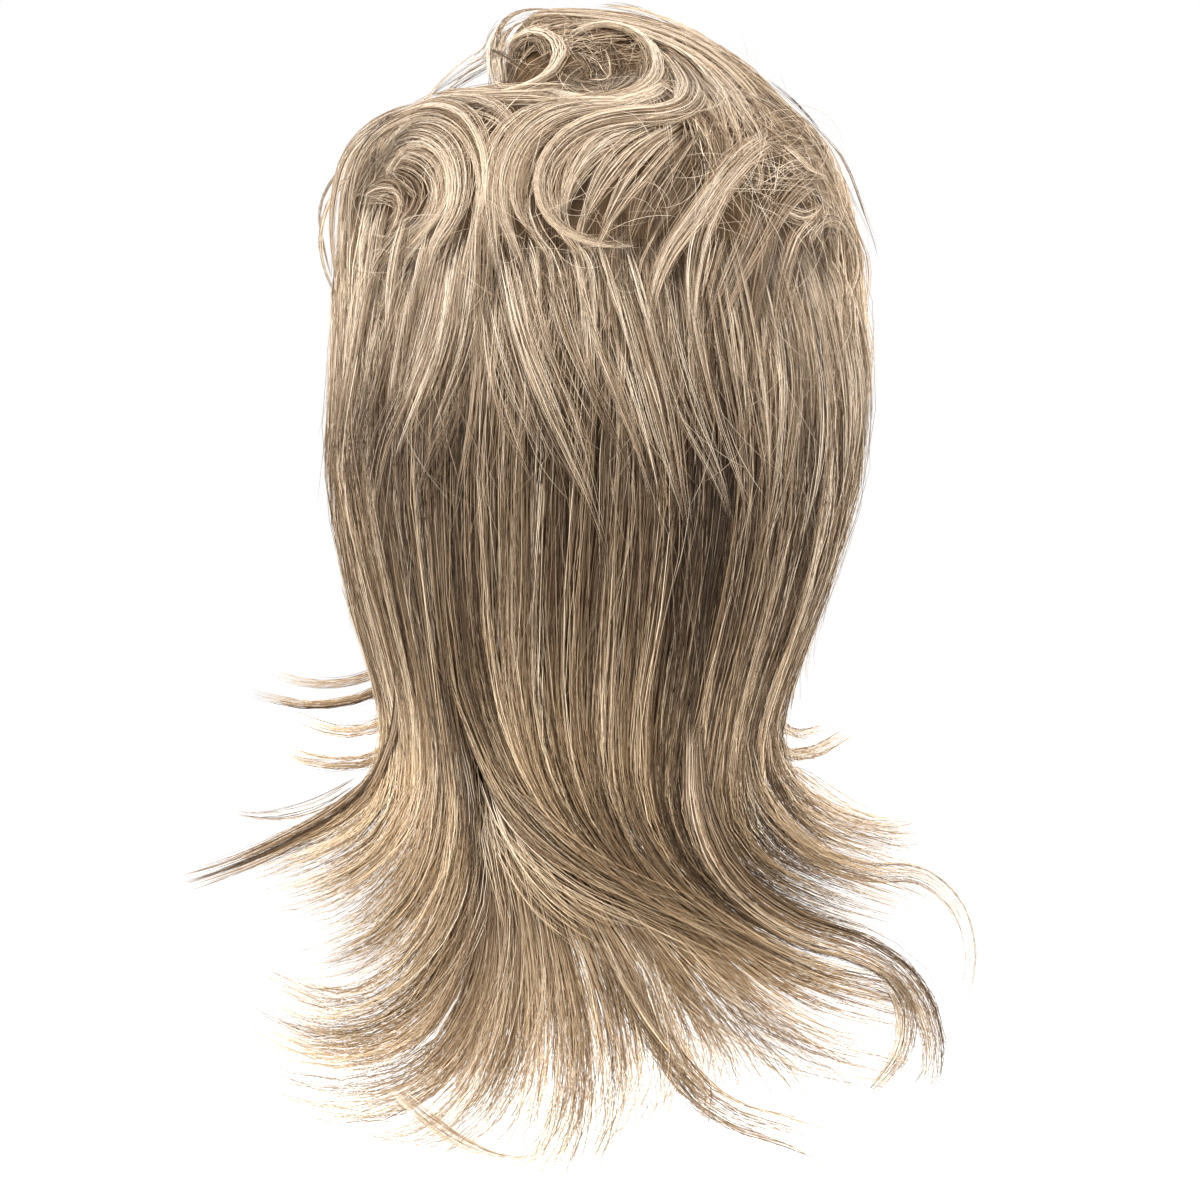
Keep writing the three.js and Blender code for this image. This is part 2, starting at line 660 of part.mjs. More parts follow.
Object.entries(capPanels()).forEach(([name, panel]) => place(name, panel, capMaterial));
const masses = {
  crown_hair: crownHair,
  back_hair: backHair,
  side_left: side(1),
  side_right: side(-1),
  fringe,
  quiff,
};
const locks = Object.entries(LOCKS).map(([name, row]) => [name, lock(row), lightHairMaterial]);
const pieces = [...Object.entries(masses).map(([name, make]) => [name, make, hairMaterial]), ...locks];
const laid = [];
for (const [name, make, material] of pieces) {
  const whole = make(0);
  const beside = laid.filter((other) => near(whole, other));
  const body = beside.reduce((rest, other) => rest.subtract(other), whole);
  place(name, largest(body), material);
  laid.push(make(GAP));
}

export default wig;
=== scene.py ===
# Layered mullet wig: a net cap, beds of packed fibre and the loose strands laid over them.
# Guide points are columns and rows on a 1200 x 1200 chart of the back view. Sizes are millimetres.
import math

import bpy
import numpy as np
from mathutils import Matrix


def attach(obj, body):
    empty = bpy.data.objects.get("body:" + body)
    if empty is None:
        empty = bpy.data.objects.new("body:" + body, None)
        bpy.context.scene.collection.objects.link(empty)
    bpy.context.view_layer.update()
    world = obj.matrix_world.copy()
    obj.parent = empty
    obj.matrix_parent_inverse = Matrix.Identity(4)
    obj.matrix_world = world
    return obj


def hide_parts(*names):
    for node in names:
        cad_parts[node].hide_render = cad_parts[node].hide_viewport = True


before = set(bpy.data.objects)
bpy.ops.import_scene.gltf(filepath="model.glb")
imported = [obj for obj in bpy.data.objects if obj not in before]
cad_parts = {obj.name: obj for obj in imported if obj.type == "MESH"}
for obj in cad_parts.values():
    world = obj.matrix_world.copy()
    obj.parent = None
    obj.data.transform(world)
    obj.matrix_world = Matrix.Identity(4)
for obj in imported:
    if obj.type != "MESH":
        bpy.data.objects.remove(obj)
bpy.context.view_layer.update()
print("frame loaded,", len(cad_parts), "nodes")

# Camera: level, square on to the back, with a lens long enough to keep the chart's scale at every depth
mm = 0.001  # in metres
cameraSetup = {"distance": 5.0, "sensor": 36.0, "imageSide": 1200}
chart = {"step": 0.38, "middle": 600, "crown": 110}  # mm to a step, column and row of the origin


def addCamera():
    middle = (chart["crown"] - cameraSetup["imageSide"] / 2) * chart["step"] * mm
    across = cameraSetup["imageSide"] * chart["step"] * mm
    data = bpy.data.cameras.new("backCamera")
    data.sensor_width = cameraSetup["sensor"]
    data.lens = cameraSetup["sensor"] * cameraSetup["distance"] / across
    camera = bpy.data.objects.new("backCamera", data)
    camera.location = (0, cameraSetup["distance"], middle)
    camera.rotation_euler = (math.radians(90), 0, math.radians(180))
    bpy.context.scene.collection.objects.link(camera)
    bpy.context.scene.camera = camera


addCamera()


# Shader nodes, with some of their inputs set
def setInputs(node, values):
    for name, value in values.items():
        node.inputs[name].default_value = value


def addNode(nodes, kind, values=None):
    node = nodes.new("ShaderNode" + kind)
    setInputs(node, values or {})
    return node


def mathNode(nodes, operation, value=None):
    node = addNode(nodes, "Math", {} if value is None else {1: value})
    node.operation = operation
    return node


# Studio: pale floor, bright even surroundings, soft boxes over and beside the camera
studio = {
    "floor": -0.45,
    "floorSize": 60.0,
    "surround": 0.42,
    "paper": (0.7, 0.7, 0.7, 1),
    "aim": (0, 0, -0.15),
    "lights": [
        # name, place, size, watts
        ("overheadBox", (0.0, 1.6, 2.0), 1.2, 82),
        ("leftBox", (1.9, 1.9, 0.5), 1.0, 30),
        ("rightBox", (-1.9, 1.9, 0.5), 1.0, 26),
        ("frontBox", (0.0, -2.0, 1.2), 1.6, 20),
        ("leftEdgeBox", (2.3, -0.5, 0.1), 1.0, 34),
        ("rightEdgeBox", (-2.3, -0.5, 0.1), 1.0, 34),
    ],
}


def addStudio():
    scene = bpy.context.scene
    scene.view_settings.view_transform = "Standard"
    white = (1, 1, 1, 1)
    world = bpy.data.worlds.new("softWhite")
    world.use_nodes = True
    scene.world = world
    nodes, links = world.node_tree.nodes, world.node_tree.links
    nodes.clear()
    output = addNode(nodes, "OutputWorld")
    mix = addNode(nodes, "MixShader")
    path = addNode(nodes, "LightPath")
    glow = addNode(nodes, "Background", {"Color": white, "Strength": studio["surround"]})
    behind = addNode(nodes, "Background", {"Color": white})
    links.new(path.outputs["Is Camera Ray"], mix.inputs["Fac"])
    links.new(glow.outputs[0], mix.inputs[1])
    links.new(behind.outputs[0], mix.inputs[2])
    links.new(mix.outputs[0], output.inputs["Surface"])

    half = studio["floorSize"] / 2
    mesh = bpy.data.meshes.new("floor")
    corners = [(-half, -half, 0), (half, -half, 0), (half, half, 0), (-half, half, 0)]
    mesh.from_pydata(corners, [], [(0, 1, 2, 3)])
    floor = bpy.data.objects.new("floor", mesh)
    floor.location.z = studio["floor"]
    scene.collection.objects.link(floor)
    paper = bpy.data.materials.new("whitePaper")
    paper.use_nodes = True
    nodes, links = paper.node_tree.nodes, paper.node_tree.links
    shader = nodes["Principled BSDF"]
    setInputs(shader, {"Base Color": studio["paper"], "Roughness": 0.9, "Emission Color": white})
    seen = addNode(nodes, "LightPath")
    links.new(seen.outputs["Is Camera Ray"], shader.inputs["Emission Strength"])
    mesh.materials.append(paper)

    for name, place, size, watts in studio["lights"]:
        data = bpy.data.lights.new(name, "AREA")
        data.size = size
        data.energy = watts
        light = bpy.data.objects.new(name, data)
        light.location = place
        toWig = np.array(studio["aim"]) - np.array(place)
        flat = math.hypot(toWig[0], toWig[1])
        turn = math.atan2(toWig[1], toWig[0]) - math.pi / 2
        light.rotation_euler = (math.atan2(flat, -toWig[2]), 0, turn)
        scene.collection.objects.link(light)


addStudio()
print("camera and studio ready")

# Form of the hair, the same as the solids: the crown, then a row for each level going down
crownForm = {"level": 95, "height": 105, "roundness": 3.3}
headForm = {"level": 92, "height": 92, "roundness": 2.3, "front": 95}
lowerForm = [
    # down, half width, shift, back, front, turn
    (95, 100, 0, 122, 112, 96),
    (110, 99.5, 1, 122, 110, 96),
    (129, 98.5, 2, 120, 108, 96),
    (148, 95.5, 3, 115, 104, 96),
    (167, 91, 3, 108, 98, 96),
    (186, 85.5, 4, 101, 92, 96),
    (205, 79, 5, 94, 86, 95),
    (224, 74.5, 6, 89, 80, 94),
    (236, 73.7, 7, 87, 78, 93),
    (247, 74.5, 7, 87, 78, 92),
    (258, 79, 6, 89, 78, 90),
    (270, 88, 4, 93, 78, 87),
    (285, 100, 2, 96, 78, 82),
    (305, 110, 0, 100, 78, 76),
    (325, 113, 1, 104, 78, 72),
    (345, 109, 3, 108, 78, 70),
    (365, 100, 5, 112, 78, 68),
    (385, 90, 5, 115, 78, 66),
    (405, 82, 5, 118, 78, 65),
]
hollowForm = [
    # inside the hair: down, half width, back
    (92, 76, 97),
    (120, 74.5, 93),
    (150, 69, 83),
    (172, 63.5, 73),
    (205, 57, 64),
    (236, 55, 61),
    (250, 57, 63),
    (262, 64, 68),
    (275, 76, 76),
    (290, 90, 84),
    (305, 99, 89),
]
quiffFoot = -24
quiffForm = [
    # across, top, front, back
    (-82, -8, -40, 24),
    (-72, 3, -52, 30),
    (-56, 17, -62, 35),
    (-34, 29.5, -68, 38),
    (-10, 36, -70, 39),
    (16, 37.5, -66, 37),
    (33, 35, -56, 31),
    (40, 24, -42, 20),
]


# Reads between the rows of a table on a smooth curve; the first column is the place
def readTable(rows, place):
    rows = np.asarray(rows, float)
    order = np.arange(len(rows))
    before = rows[np.maximum(order - 1, 0)]
    after = rows[np.minimum(order + 1, len(rows) - 1)]
    slopes = (after - before) / (after[:, :1] - before[:, :1])
    knots = rows[:, 0]
    place = np.clip(np.asarray(place, float), knots[0], knots[-1])
    i = np.clip(np.searchsorted(knots, place) - 1, 0, len(rows) - 2)
    span = knots[i + 1] - knots[i]
    t = (place - knots[i]) / span
    rest = 1 - t
    low = rows[i] * ((1 + 2 * t) * rest**2)[..., None] + slopes[i] * (span * t * rest**2)[..., None]
    high = rows[i + 1] * (t * t * (3 - 2 * t))[..., None] - slopes[i + 1] * (span * t * t * rest)[..., None]
    return np.moveaxis(low + high, -1, 0)[1:]


def smoothStep(low, high, value):
    t = np.clip((value - low) / (high - low), 0, 1)
    return t * t * (3 - 2 * t)


def unit(vectors):
    return vectors / np.maximum(np.linalg.norm(vectors, axis=-1, keepdims=True), 1e-9)


# Share of its full size that a dome has at a level, 0 at its top
def domeSize(form, down):
    rise = np.clip((form["level"] - down) / form["height"], 0, 1)
    return (1 - rise ** form["roundness"]) ** (1 / form["roundness"])


def formAt(down):
    half, shift, back, front, turn = readTable(lowerForm, np.maximum(down, crownForm["level"]))
    size = domeSize(crownForm, down)
    return half * size, shift, back * size, front * size, turn


def hollowAt(down):
    half, back = readTable(hollowForm, np.maximum(down, headForm["level"]))
    size = domeSize(headForm, down)
    return half * size, 0, back * size, headForm["front"]


# How far back the hair reaches behind a place on the chart, quiff and flared ends included
flare = {
    "from": -236, "to": -275, "spread": 1.25, "least": 0.1, "kick": 16, "kickFrom": -330, "kickTo": -410,
}


def backAt(x, z):
    half, shift, back, _, turn = formAt(-z)
    aside = (x - shift) / np.maximum(half, 1e-6)
    reach = np.clip(aside * np.sin(np.radians(np.minimum(turn, 90))), -1, 1)
    body = back * np.sqrt(1 - reach**2)
    ends = back * np.sqrt(np.maximum(flare["least"], 1 - (aside / flare["spread"]) ** 2))
    ends = ends + flare["kick"] * smoothStep(flare["kickFrom"], flare["kickTo"], z)
    body = body + (ends - body) * smoothStep(flare["from"], flare["to"], z)
    top, front, rear = readTable(quiffForm, x)
    rise = (z - quiffFoot) / (top - quiffFoot)
    onQuiff = (rise > 0) & (rise < 1) & (x > quiffForm[0][0]) & (x < quiffForm[-1][0])
    arch = (front + rear) / 2 + (rear - front) / 2 * np.sqrt(np.clip(1 - rise**2, 0, 1))
    return np.maximum(body, np.where(onQuiff, arch, 0))


def chartToMm(points):
    points = np.asarray(points, float)
    x = (chart["middle"] - points[..., 0]) * chart["step"]
    z = (chart["crown"] - points[..., 1]) * chart["step"]
    return x, z


def rowAt(points):
    return chart["crown"] - points[..., 2] / chart["step"]


# A place on the chart, brought to the back of the hair and lifted off it
def liftedAt(place, lift):
    x, z = chartToMm(place)
    seat = np.stack([x, backAt(x, z), z], -1)
    return seat + outwardAt(seat) * lift[..., None]


outwardForm = {"half": 100, "back": 122, "leastBack": 20, "flareTurn": 0.8}


# Direction away from the hair below a point; the flared ends turn to face the back
def outwardAt(points):
    x, y, z = points[..., 0], points[..., 1], points[..., 2]
    shift = formAt(-z)[1]
    rise = np.clip((crownForm["level"] + z) / crownForm["height"], 0, 1.2)
    out = np.stack([
        (x - shift) / outwardForm["half"] ** 2,
        np.where(y > 0, np.maximum(y, outwardForm["leastBack"]), y) / outwardForm["back"] ** 2,
        rise ** (crownForm["roundness"] - 1) / crownForm["height"],
    ], axis=-1)
    flat = outwardForm["flareTurn"] * smoothStep(flare["from"], flare["to"], z)[..., None]
    return unit(unit(out) * (1 - flat) + np.array((0, 1, 0)) * flat)


# One more point past each end of a row of points, straight on
def extended(points):
    return np.concatenate([2 * points[:1] - points[1:2], points, 2 * points[-1:] - points[-2:-1]])


def splineWeights(t):
    return (
        0.5 * (-t**3 + 2 * t**2 - t),
        0.5 * (3 * t**3 - 5 * t**2 + 2),
        0.5 * (-3 * t**3 + 4 * t**2 + t),
        0.5 * (t**3 - t**2),
    )


# Smooth curve through points, read at places counted in points
def curveAt(points, place):
    points = np.asarray(points, float)
    padded = extended(points)
    place = np.clip(place, 0, len(points) - 1 - 1e-6)
    i = np.floor(place).astype(int)
    weights = splineWeights(place - i)
    return sum(weights[k][..., None] * padded[i + k] for k in range(4))


# Places on a dome by the angle from the middle of the back and the way down: 0 the top, 1 the level of
# the ears, and then 1 more for every 100 mm
def onDome(form, ringAt, angle, way, lift):
    power = 2 / form["roundness"]
    tilt = np.clip(way, 0, 1) * math.pi / 2
    ring = np.sin(tilt) ** power
    down = form["level"] + np.maximum(way - 1, 0) * 100
    half, shift, back, front = ringAt(down)[:4]
    reach = np.where(np.cos(angle) > 0, back, front)
    upper = (form["height"] + lift) * np.maximum(np.cos(tilt), 0) ** power - form["level"]
    return np.stack([
        shift + (half + lift) * ring * np.sin(angle),
        (reach + lift) * ring * np.cos(angle),
        np.where(way < 1, upper, -down),
    ], axis=-1)


def onForm(angle, way, lift):
    return onDome(crownForm, formAt, angle, way, lift)


def onHead(angle, way, lift):
    return onDome(headForm, hollowAt, angle, way, lift)


# How far round a place is from the face to the back of the ears, 0 to 1
def behindFace(angle):
    return smoothStep(58, 96, np.abs(180 - np.degrees(angle)))


# Meshes
pieceNames = []
triangleTotal = [0]


def finishPiece(mesh, name, material, nodes):
    piece = bpy.data.objects.new(name, mesh)
    bpy.context.scene.collection.objects.link(piece)
    mesh.materials.append(material)
    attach(piece, "root")
    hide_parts(*nodes)
    mesh.calc_loop_triangles()
    triangleTotal[0] += len(mesh.loop_triangles)
    pieceNames.append(name)
    print(name, len(mesh.loop_triangles), "triangles")


def fillMesh(name, points, loops, sizes, uv):
    mesh = bpy.data.meshes.new(name)
    mesh.vertices.add(len(points))
    mesh.vertices.foreach_set("co", (points * mm).astype(np.float32).ravel())
    mesh.loops.add(len(loops))
    mesh.loops.foreach_set("vertex_index", loops.astype(np.int32))
    mesh.polygons.add(len(sizes))
    starts = np.concatenate([[0], np.cumsum(sizes)[:-1]])
    mesh.polygons.foreach_set("loop_start", starts.astype(np.int32))
    mesh.polygons.foreach_set("loop_total", sizes.astype(np.int32))
    mesh.update(calc_edges=True)
    mesh.polygons.foreach_set("use_smooth", np.ones(len(sizes), bool))
    layer = mesh.uv_layers.new(name="OFBake")
    layer.data.foreach_set("uv", np.clip(uv, 0.002, 0.998).astype(np.float32).ravel())
    mesh.validate()
    return mesh


# Fibres as closed three-sided tubes, pointed at both ends. The map holds tone across and the way from
# root to tip along.
fibre = {"sides": 3, "mapWidth": 0.004}


def clipTone(tone):
    return np.clip(tone, 0.02, 0.98)


# Thickness along a strand, thin at its tip or at both ends
def thinTip(way):
    return 1 - 0.6 * way**3


def thinEnds(way):
    return 1 - 0.6 * np.abs(2 * way - 1) ** 3


def tubeArrays(batch, rng):
    points, radius, tone = batch["points"], batch["radius"], batch["tone"]
    strands, count, _ = points.shape
    sides, rings = fibre["sides"], count - 2
    tangent = unit(np.gradient(points, axis=1))
    across = np.empty_like(points)
    first = unit(np.cross(tangent[:, 0], rng.normal(size=(strands, 3))))
    for k in range(count):
        first = unit(first - tangent[:, k] * np.sum(first * tangent[:, k], axis=-1, keepdims=True))
        across[:, k] = first
    upright = np.cross(tangent, across)
    turns = np.arange(sides) * 2 * math.pi / sides
    ring = across[:, :, None] * np.cos(turns)[:, None] + upright[:, :, None] * np.sin(turns)[:, None]
    skin = (points[:, :, None] + ring * radius[:, :, None, None])[:, 1:-1]
    skin = np.concatenate([skin.reshape(-1, 3), points[:, 0], points[:, -1]])

    index = np.arange(strands * rings * sides).reshape(strands, rings, sides)
    low, high = index[:, :-1], index[:, 1:]
    quads = np.stack([low, np.roll(low, -1, 2), np.roll(high, -1, 2), high], axis=-1)
    roots = np.broadcast_to(index.size + np.arange(strands)[:, None], (strands, sides))
    rootFans = np.stack([roots, np.roll(index[:, 0], -1, 1), index[:, 0]], -1)
    tipFans = np.stack([index[:, -1], np.roll(index[:, -1], -1, 1), roots + strands], -1)

    along = np.broadcast_to(np.linspace(0.01, 0.99, count), (strands, count))

    def mapAt(k, aside):
        return np.stack([tone[:, k] + aside, along[:, k]], -1)

    w = fibre["mapWidth"]
    lower, upper = slice(1, -2), slice(2, -1)
    quadMap = np.stack([mapAt(lower, -w), mapAt(lower, w), mapAt(upper, w), mapAt(upper, -w)], 2)
    rootMap = np.stack([mapAt(0, 0), mapAt(1, w), mapAt(1, -w)], 1)
    tipMap = np.stack([mapAt(-2, -w), mapAt(-2, w), mapAt(-1, 0)], 1)
    quadMap = np.repeat(quadMap[:, :, None], sides, axis=2)
    fans = np.concatenate([rootFans.reshape(-1, 3), tipFans.reshape(-1, 3)])
    fanMap = np.concatenate([np.repeat(rootMap, sides, axis=0), np.repeat(tipMap, sides, axis=0)])
    return skin, quads.reshape(-1, 4), quadMap.reshape(-1, 2), fans, fanMap.reshape(-1, 2)


def strandPiece(name, batches, material, nodes, seed):
    rng = np.random.default_rng(seed)
    skins, quads, quadMaps, ends, endMaps = [], [], [], [], []
    start = 0
    for batch in batches:
        skin, quad, quadMap, end, endMap = tubeArrays(batch, rng)
        skins.append(skin)
        quads.append(quad + start)
        ends.append(end + start)
        quadMaps.append(quadMap)
        endMaps.append(endMap)
        start += len(skin)
    quads, ends = np.concatenate(quads), np.concatenate(ends)
    loops = np.concatenate([quads.ravel(), ends.ravel()])
    sizes = np.concatenate([np.full(len(quads), 4), np.full(len(ends), 3)])
    uv = np.concatenate(quadMaps + endMaps)
    mesh = fillMesh(name, np.concatenate(skins), loops, sizes, uv)
    finishPiece(mesh, name, material, nodes)


# A closed shell between an outer and an inner grid of points, in rows and columns; a round one closes on
# itself
def shellPiece(name, outer, inner, tone, isRound, material, nodes):
    rows, columns = outer.shape[:2]
    index = np.arange(rows * columns).reshape(rows, columns)
    if isRound:
        index = np.concatenate([index, index[:, :1]], axis=1)
        tone = np.concatenate([tone, tone[:, :1]], axis=1)
    other = index + rows * columns
    strips = [
        np.stack([index[:-1, :-1], index[:-1, 1:], index[1:, 1:], index[1:, :-1]], -1),
        np.stack([other[:-1, :-1], other[1:, :-1], other[1:, 1:], other[:-1, 1:]], -1),
    ]
    tones = [tone[:-1, :-1], tone[:-1, :-1]]
    places = [np.broadcast_to(np.linspace(0.02, 0.98, rows)[:-1, None], tones[0].shape)] * 2
    for row, facing in ((0, 1), (rows - 1, -1)):
        a, b, c, d = index[row, :-1], index[row, 1:], other[row, 1:], other[row, :-1]
        strips.append(np.stack([a, d, c, b] if facing > 0 else [a, b, c, d], -1)[None])
        tones.append(tone[row, :-1][None])
        places.append(np.full(tones[-1].shape, 0.02 if row == 0 else 0.97))
    if not isRound:
        for column, facing in ((0, 1), (columns - 1, -1)):
            a, b, c, d = index[:-1, column], index[1:, column], other[1:, column], other[:-1, column]
            strips.append(np.stack([a, b, c, d] if facing > 0 else [a, d, c, b], -1)[None])
            tones.append(tone[:-1, column][None])
            places.append(np.linspace(0.02, 0.97, rows)[:-1][None])
    quads = np.concatenate([s.reshape(-1, 4) for s in strips])
    tone = np.concatenate([t.ravel() for t in tones])
    along = np.concatenate([p.ravel() for p in places])
    w = fibre["mapWidth"]
    uv = np.stack([
        np.stack([tone - w, along], -1),
        np.stack([tone + w, along], -1),
        np.stack([tone + w, along + w], -1),
        np.stack([tone - w, along + w], -1),
    ], axis=1)
    points = np.concatenate([outer.reshape(-1, 3), inner.reshape(-1, 3)])
    mesh = fillMesh(name, points, quads.ravel(), np.full(len(quads), 4), uv.reshape(-1, 2))
    finishPiece(mesh, name, material, nodes)


# Fibre colour: tone runs from dark lowlights to pale highlights, with a fleck along each fibre, and the
# hue goes from ash to gold from fibre to fibre and towards the ends. The pale end is whitened partly as a
# painted sheen, and the tones given to strands also carry painted light and shade
fibreLook = {
    "tones": [
        # tone, colour
        (0.0, (0.022, 0.0118, 0.0048)),
        (0.25, (0.108, 0.066, 0.034)),
        (0.5, (0.288, 0.198, 0.120)),
        (0.75, (0.57, 0.432, 0.296)),
        (1.0, (1.0, 0.880, 0.720)),
    ],
    "ash": (0.97, 0.99, 1.04, 1),
    "gold": (1.05, 0.94, 0.75, 1),
    "goldFrom": 0.36,
    "goldTo": 0.80,
    "fleckScale": (90, 14),  # across the tones and along the fibre
    "hueScale": (230, 1.5),
    "roughness": (0.36, 0.54),
}


def fibreGroup():
    look = fibreLook
    group = bpy.data.node_groups.new("fibreColour", "ShaderNodeTree")
    face = group.interface
    for name, value in (("Tone", 0.5), ("Along", 0.5), ("Fleck", 0.12), ("Gold ends", 0.3)):
        face.new_socket(name=name, in_out="INPUT", socket_type="NodeSocketFloat").default_value = value
    face.new_socket(name="Colour", in_out="OUTPUT", socket_type="NodeSocketColor")
    face.new_socket(name="Roughness", in_out="OUTPUT", socket_type="NodeSocketFloat")
    nodes, links = group.nodes, group.links
    given = nodes.new("NodeGroupInput")
    out = nodes.new("NodeGroupOutput")

    def noiseAt(acrossScale, alongScale, depth):
        across = mathNode(nodes, "MULTIPLY", acrossScale)
        along = mathNode(nodes, "MULTIPLY", alongScale)
        place = addNode(nodes, "CombineXYZ", {"Z": depth})
        noise = addNode(nodes, "TexNoise", {"Scale": 1.0, "Detail": 2.0})
        links.new(given.outputs["Tone"], across.inputs[0])
        links.new(given.outputs["Along"], along.inputs[0])
        links.new(across.outputs[0], place.inputs["X"])
        links.new(along.outputs[0], place.inputs["Y"])
        links.new(place.outputs[0], noise.inputs["Vector"])
        return noise.outputs[0]

    flecks = noiseAt(*look["fleckScale"], 0)
    hues = noiseAt(*look["hueScale"], 5)
    middle, scaled = mathNode(nodes, "SUBTRACT", 0.5), mathNode(nodes, "MULTIPLY")
    added = mathNode(nodes, "ADD")
    links.new(flecks, middle.inputs[0])
    links.new(middle.outputs[0], scaled.inputs[0])
    links.new(given.outputs["Fleck"], scaled.inputs[1])
    links.new(given.outputs["Tone"], added.inputs[0])
    links.new(scaled.outputs[0], added.inputs[1])
    ramp = addNode(nodes, "ValToRGB")
    while len(ramp.color_ramp.elements) < len(look["tones"]):
        ramp.color_ramp.elements.new(0.5)
    for element, (place, colour) in zip(ramp.color_ramp.elements, look["tones"]):
        element.position = place
        element.color = (*colour, 1)
    links.new(added.outputs[0], ramp.inputs["Fac"])

    golden, both = mathNode(nodes, "MULTIPLY"), mathNode(nodes, "ADD")
    share = addNode(nodes, "MapRange", {"From Min": look["goldFrom"], "From Max": look["goldTo"]})
    tint, tinted = addNode(nodes, "Mix"), addNode(nodes, "Mix")
    for mix in (tint, tinted):
        mix.data_type = "RGBA"
    tinted.blend_type = "MULTIPLY"
    setInputs(tint, {6: look["ash"], 7: look["gold"]})
    setInputs(tinted, {0: 1})
    links.new(given.outputs["Along"], golden.inputs[0])
    links.new(given.outputs["Gold ends"], golden.inputs[1])
    links.new(hues, both.inputs[0])
    links.new(golden.outputs[0], both.inputs[1])
    links.new(both.outputs[0], share.inputs["Value"])
    links.new(share.outputs["Result"], tint.inputs[0])
    links.new(ramp.outputs["Color"], tinted.inputs[6])
    links.new(tint.outputs[2], tinted.inputs[7])
    smooth, rough = look["roughness"]
    shine = addNode(nodes, "MapRange", {"To Min": smooth, "To Max": rough})
    links.new(flecks, shine.inputs["Value"])
    links.new(tinted.outputs[2], out.inputs["Colour"])
    links.new(shine.outputs["Result"], out.inputs["Roughness"])
    return group


fibreNodes = fibreGroup()


def fibreMaterial(name, fleck, goldEnds, specular):
    material = bpy.data.materials.new(name)
    material.use_nodes = True
    nodes, links = material.node_tree.nodes, material.node_tree.links
    shader = nodes["Principled BSDF"]
    setInputs(shader, {"Specular IOR Level": specular})
    uvMap = addNode(nodes, "UVMap")
    uvMap.uv_map = "OFBake"
    split = addNode(nodes, "SeparateXYZ")
    group = addNode(nodes, "Group")
    group.node_tree = fibreNodes
    setInputs(group, {"Fleck": fleck, "Gold ends": goldEnds})
    links.new(uvMap.outputs["UV"], split.inputs["Vector"])
    links.new(split.outputs["X"], group.inputs["Tone"])
    links.new(split.outputs["Y"], group.inputs["Along"])
    links.new(group.outputs["Colour"], shader.inputs["Base Color"])
    links.new(group.outputs["Roughness"], shader.inputs["Roughness"])
    return material


crownFibre = fibreMaterial("crownFibre", fleck=0.18, goldEnds=0.06, specular=0.42)
longFibre = fibreMaterial("longFibre", fleck=0.16, goldEnds=0.42, specular=0.34)
tipFibre = fibreMaterial("tipFibre", fleck=0.16, goldEnds=0.06, specular=0.42)
endFibre = fibreMaterial("endFibre", fleck=0.16, goldEnds=0.40, specular=0.40)
bedFibre = fibreMaterial("bedFibre", fleck=0.12, goldEnds=0.10, specular=0.15)

# Cap net: a fine woven mesh in dark taupe
capNet = {
    "weave": 1.7, "turns": (45, -45), "tilt": 0.8, "roughness": 0.85, "specular": 0.2,
    "dark": (0.045, 0.030, 0.020, 1), "pale": (0.16, 0.112, 0.075, 1), "darkTo": 0.35,
    "bump": 0.6, "bumpHeight": 0.0004,
}


def netMaterial():
    net = capNet
    material = bpy.data.materials.new("capNet")
    material.use_nodes = True
    nodes, links = material.node_tree.nodes, material.node_tree.links
    shader = nodes["Principled BSDF"]
    setInputs(shader, {"Roughness": net["roughness"], "Specular IOR Level": net["specular"]})
    place = addNode(nodes, "TexCoord")
    top = mathNode(nodes, "MAXIMUM")
    waves = {"Scale": 100 * math.pi / net["weave"], "Distortion": 0.6, "Detail": 1}
    for k, turn in enumerate(net["turns"]):
        turned = addNode(nodes, "Mapping")
        setInputs(turned, {"Rotation": (math.radians(turn), math.radians(turn * net["tilt"]), 0)})
        wave = addNode(nodes, "TexWave", waves)
        links.new(place.outputs["Object"], turned.inputs["Vector"])
        links.new(turned.outputs[0], wave.inputs["Vector"])
        links.new(wave.outputs["Fac"], top.inputs[k])
    ramp = addNode(nodes, "ValToRGB")
    dark, pale = ramp.color_ramp.elements
    dark.color = net["dark"]
    dark.position = net["darkTo"]
    pale.color = net["pale"]
    bump = addNode(nodes, "Bump", {"Strength": net["bump"], "Distance": net["bumpHeight"]})
    links.new(top.outputs[0], ramp.inputs["Fac"])
    links.new(ramp.outputs["Color"], shader.inputs["Base Color"])
    links.new(top.outputs[0], bump.inputs["Height"])
    links.new(bump.outputs["Normal"], shader.inputs["Normal"])
    return material


netFinish = netMaterial()
for panel in ("cap_top", "cap_back", "cap_left", "cap_right", "cap_front"):
    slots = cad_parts[panel].data.materials
    slots.clear()
    slots.append(netFinish)
print("materials ready")


# Ridges of packed fibre over a grid: random heights that drift sideways going down
def ridges(rng, rows, columns, drift):
    heights = rng.uniform(-1, 1, columns)
    heights = 0.5 * heights + 0.25 * (np.roll(heights, 1) + np.roll(heights, -1))
    shifts = np.cumsum(rng.normal(0, drift, rows))
    spots = (np.arange(columns)[None] + shifts[:, None]) % columns
    low = np.floor(spots).astype(int) % columns
    part = spots - np.floor(spots)
    return heights[low] * (1 - part) + heights[(low + 1) % columns] * part


# A bed's tone: a dark base, the hair's ash-brown base colour deepened with painted shade, then painted shade
# in the grooves between its ridges and painted light on their tops
def bedTone(bed, height, rng):
    tone = bed["tone"] + bed["grooveShade"] * height + rng.normal(0, bed["toneSpread"], height.shape)
    return np.clip(tone, 0.02, 0.95)


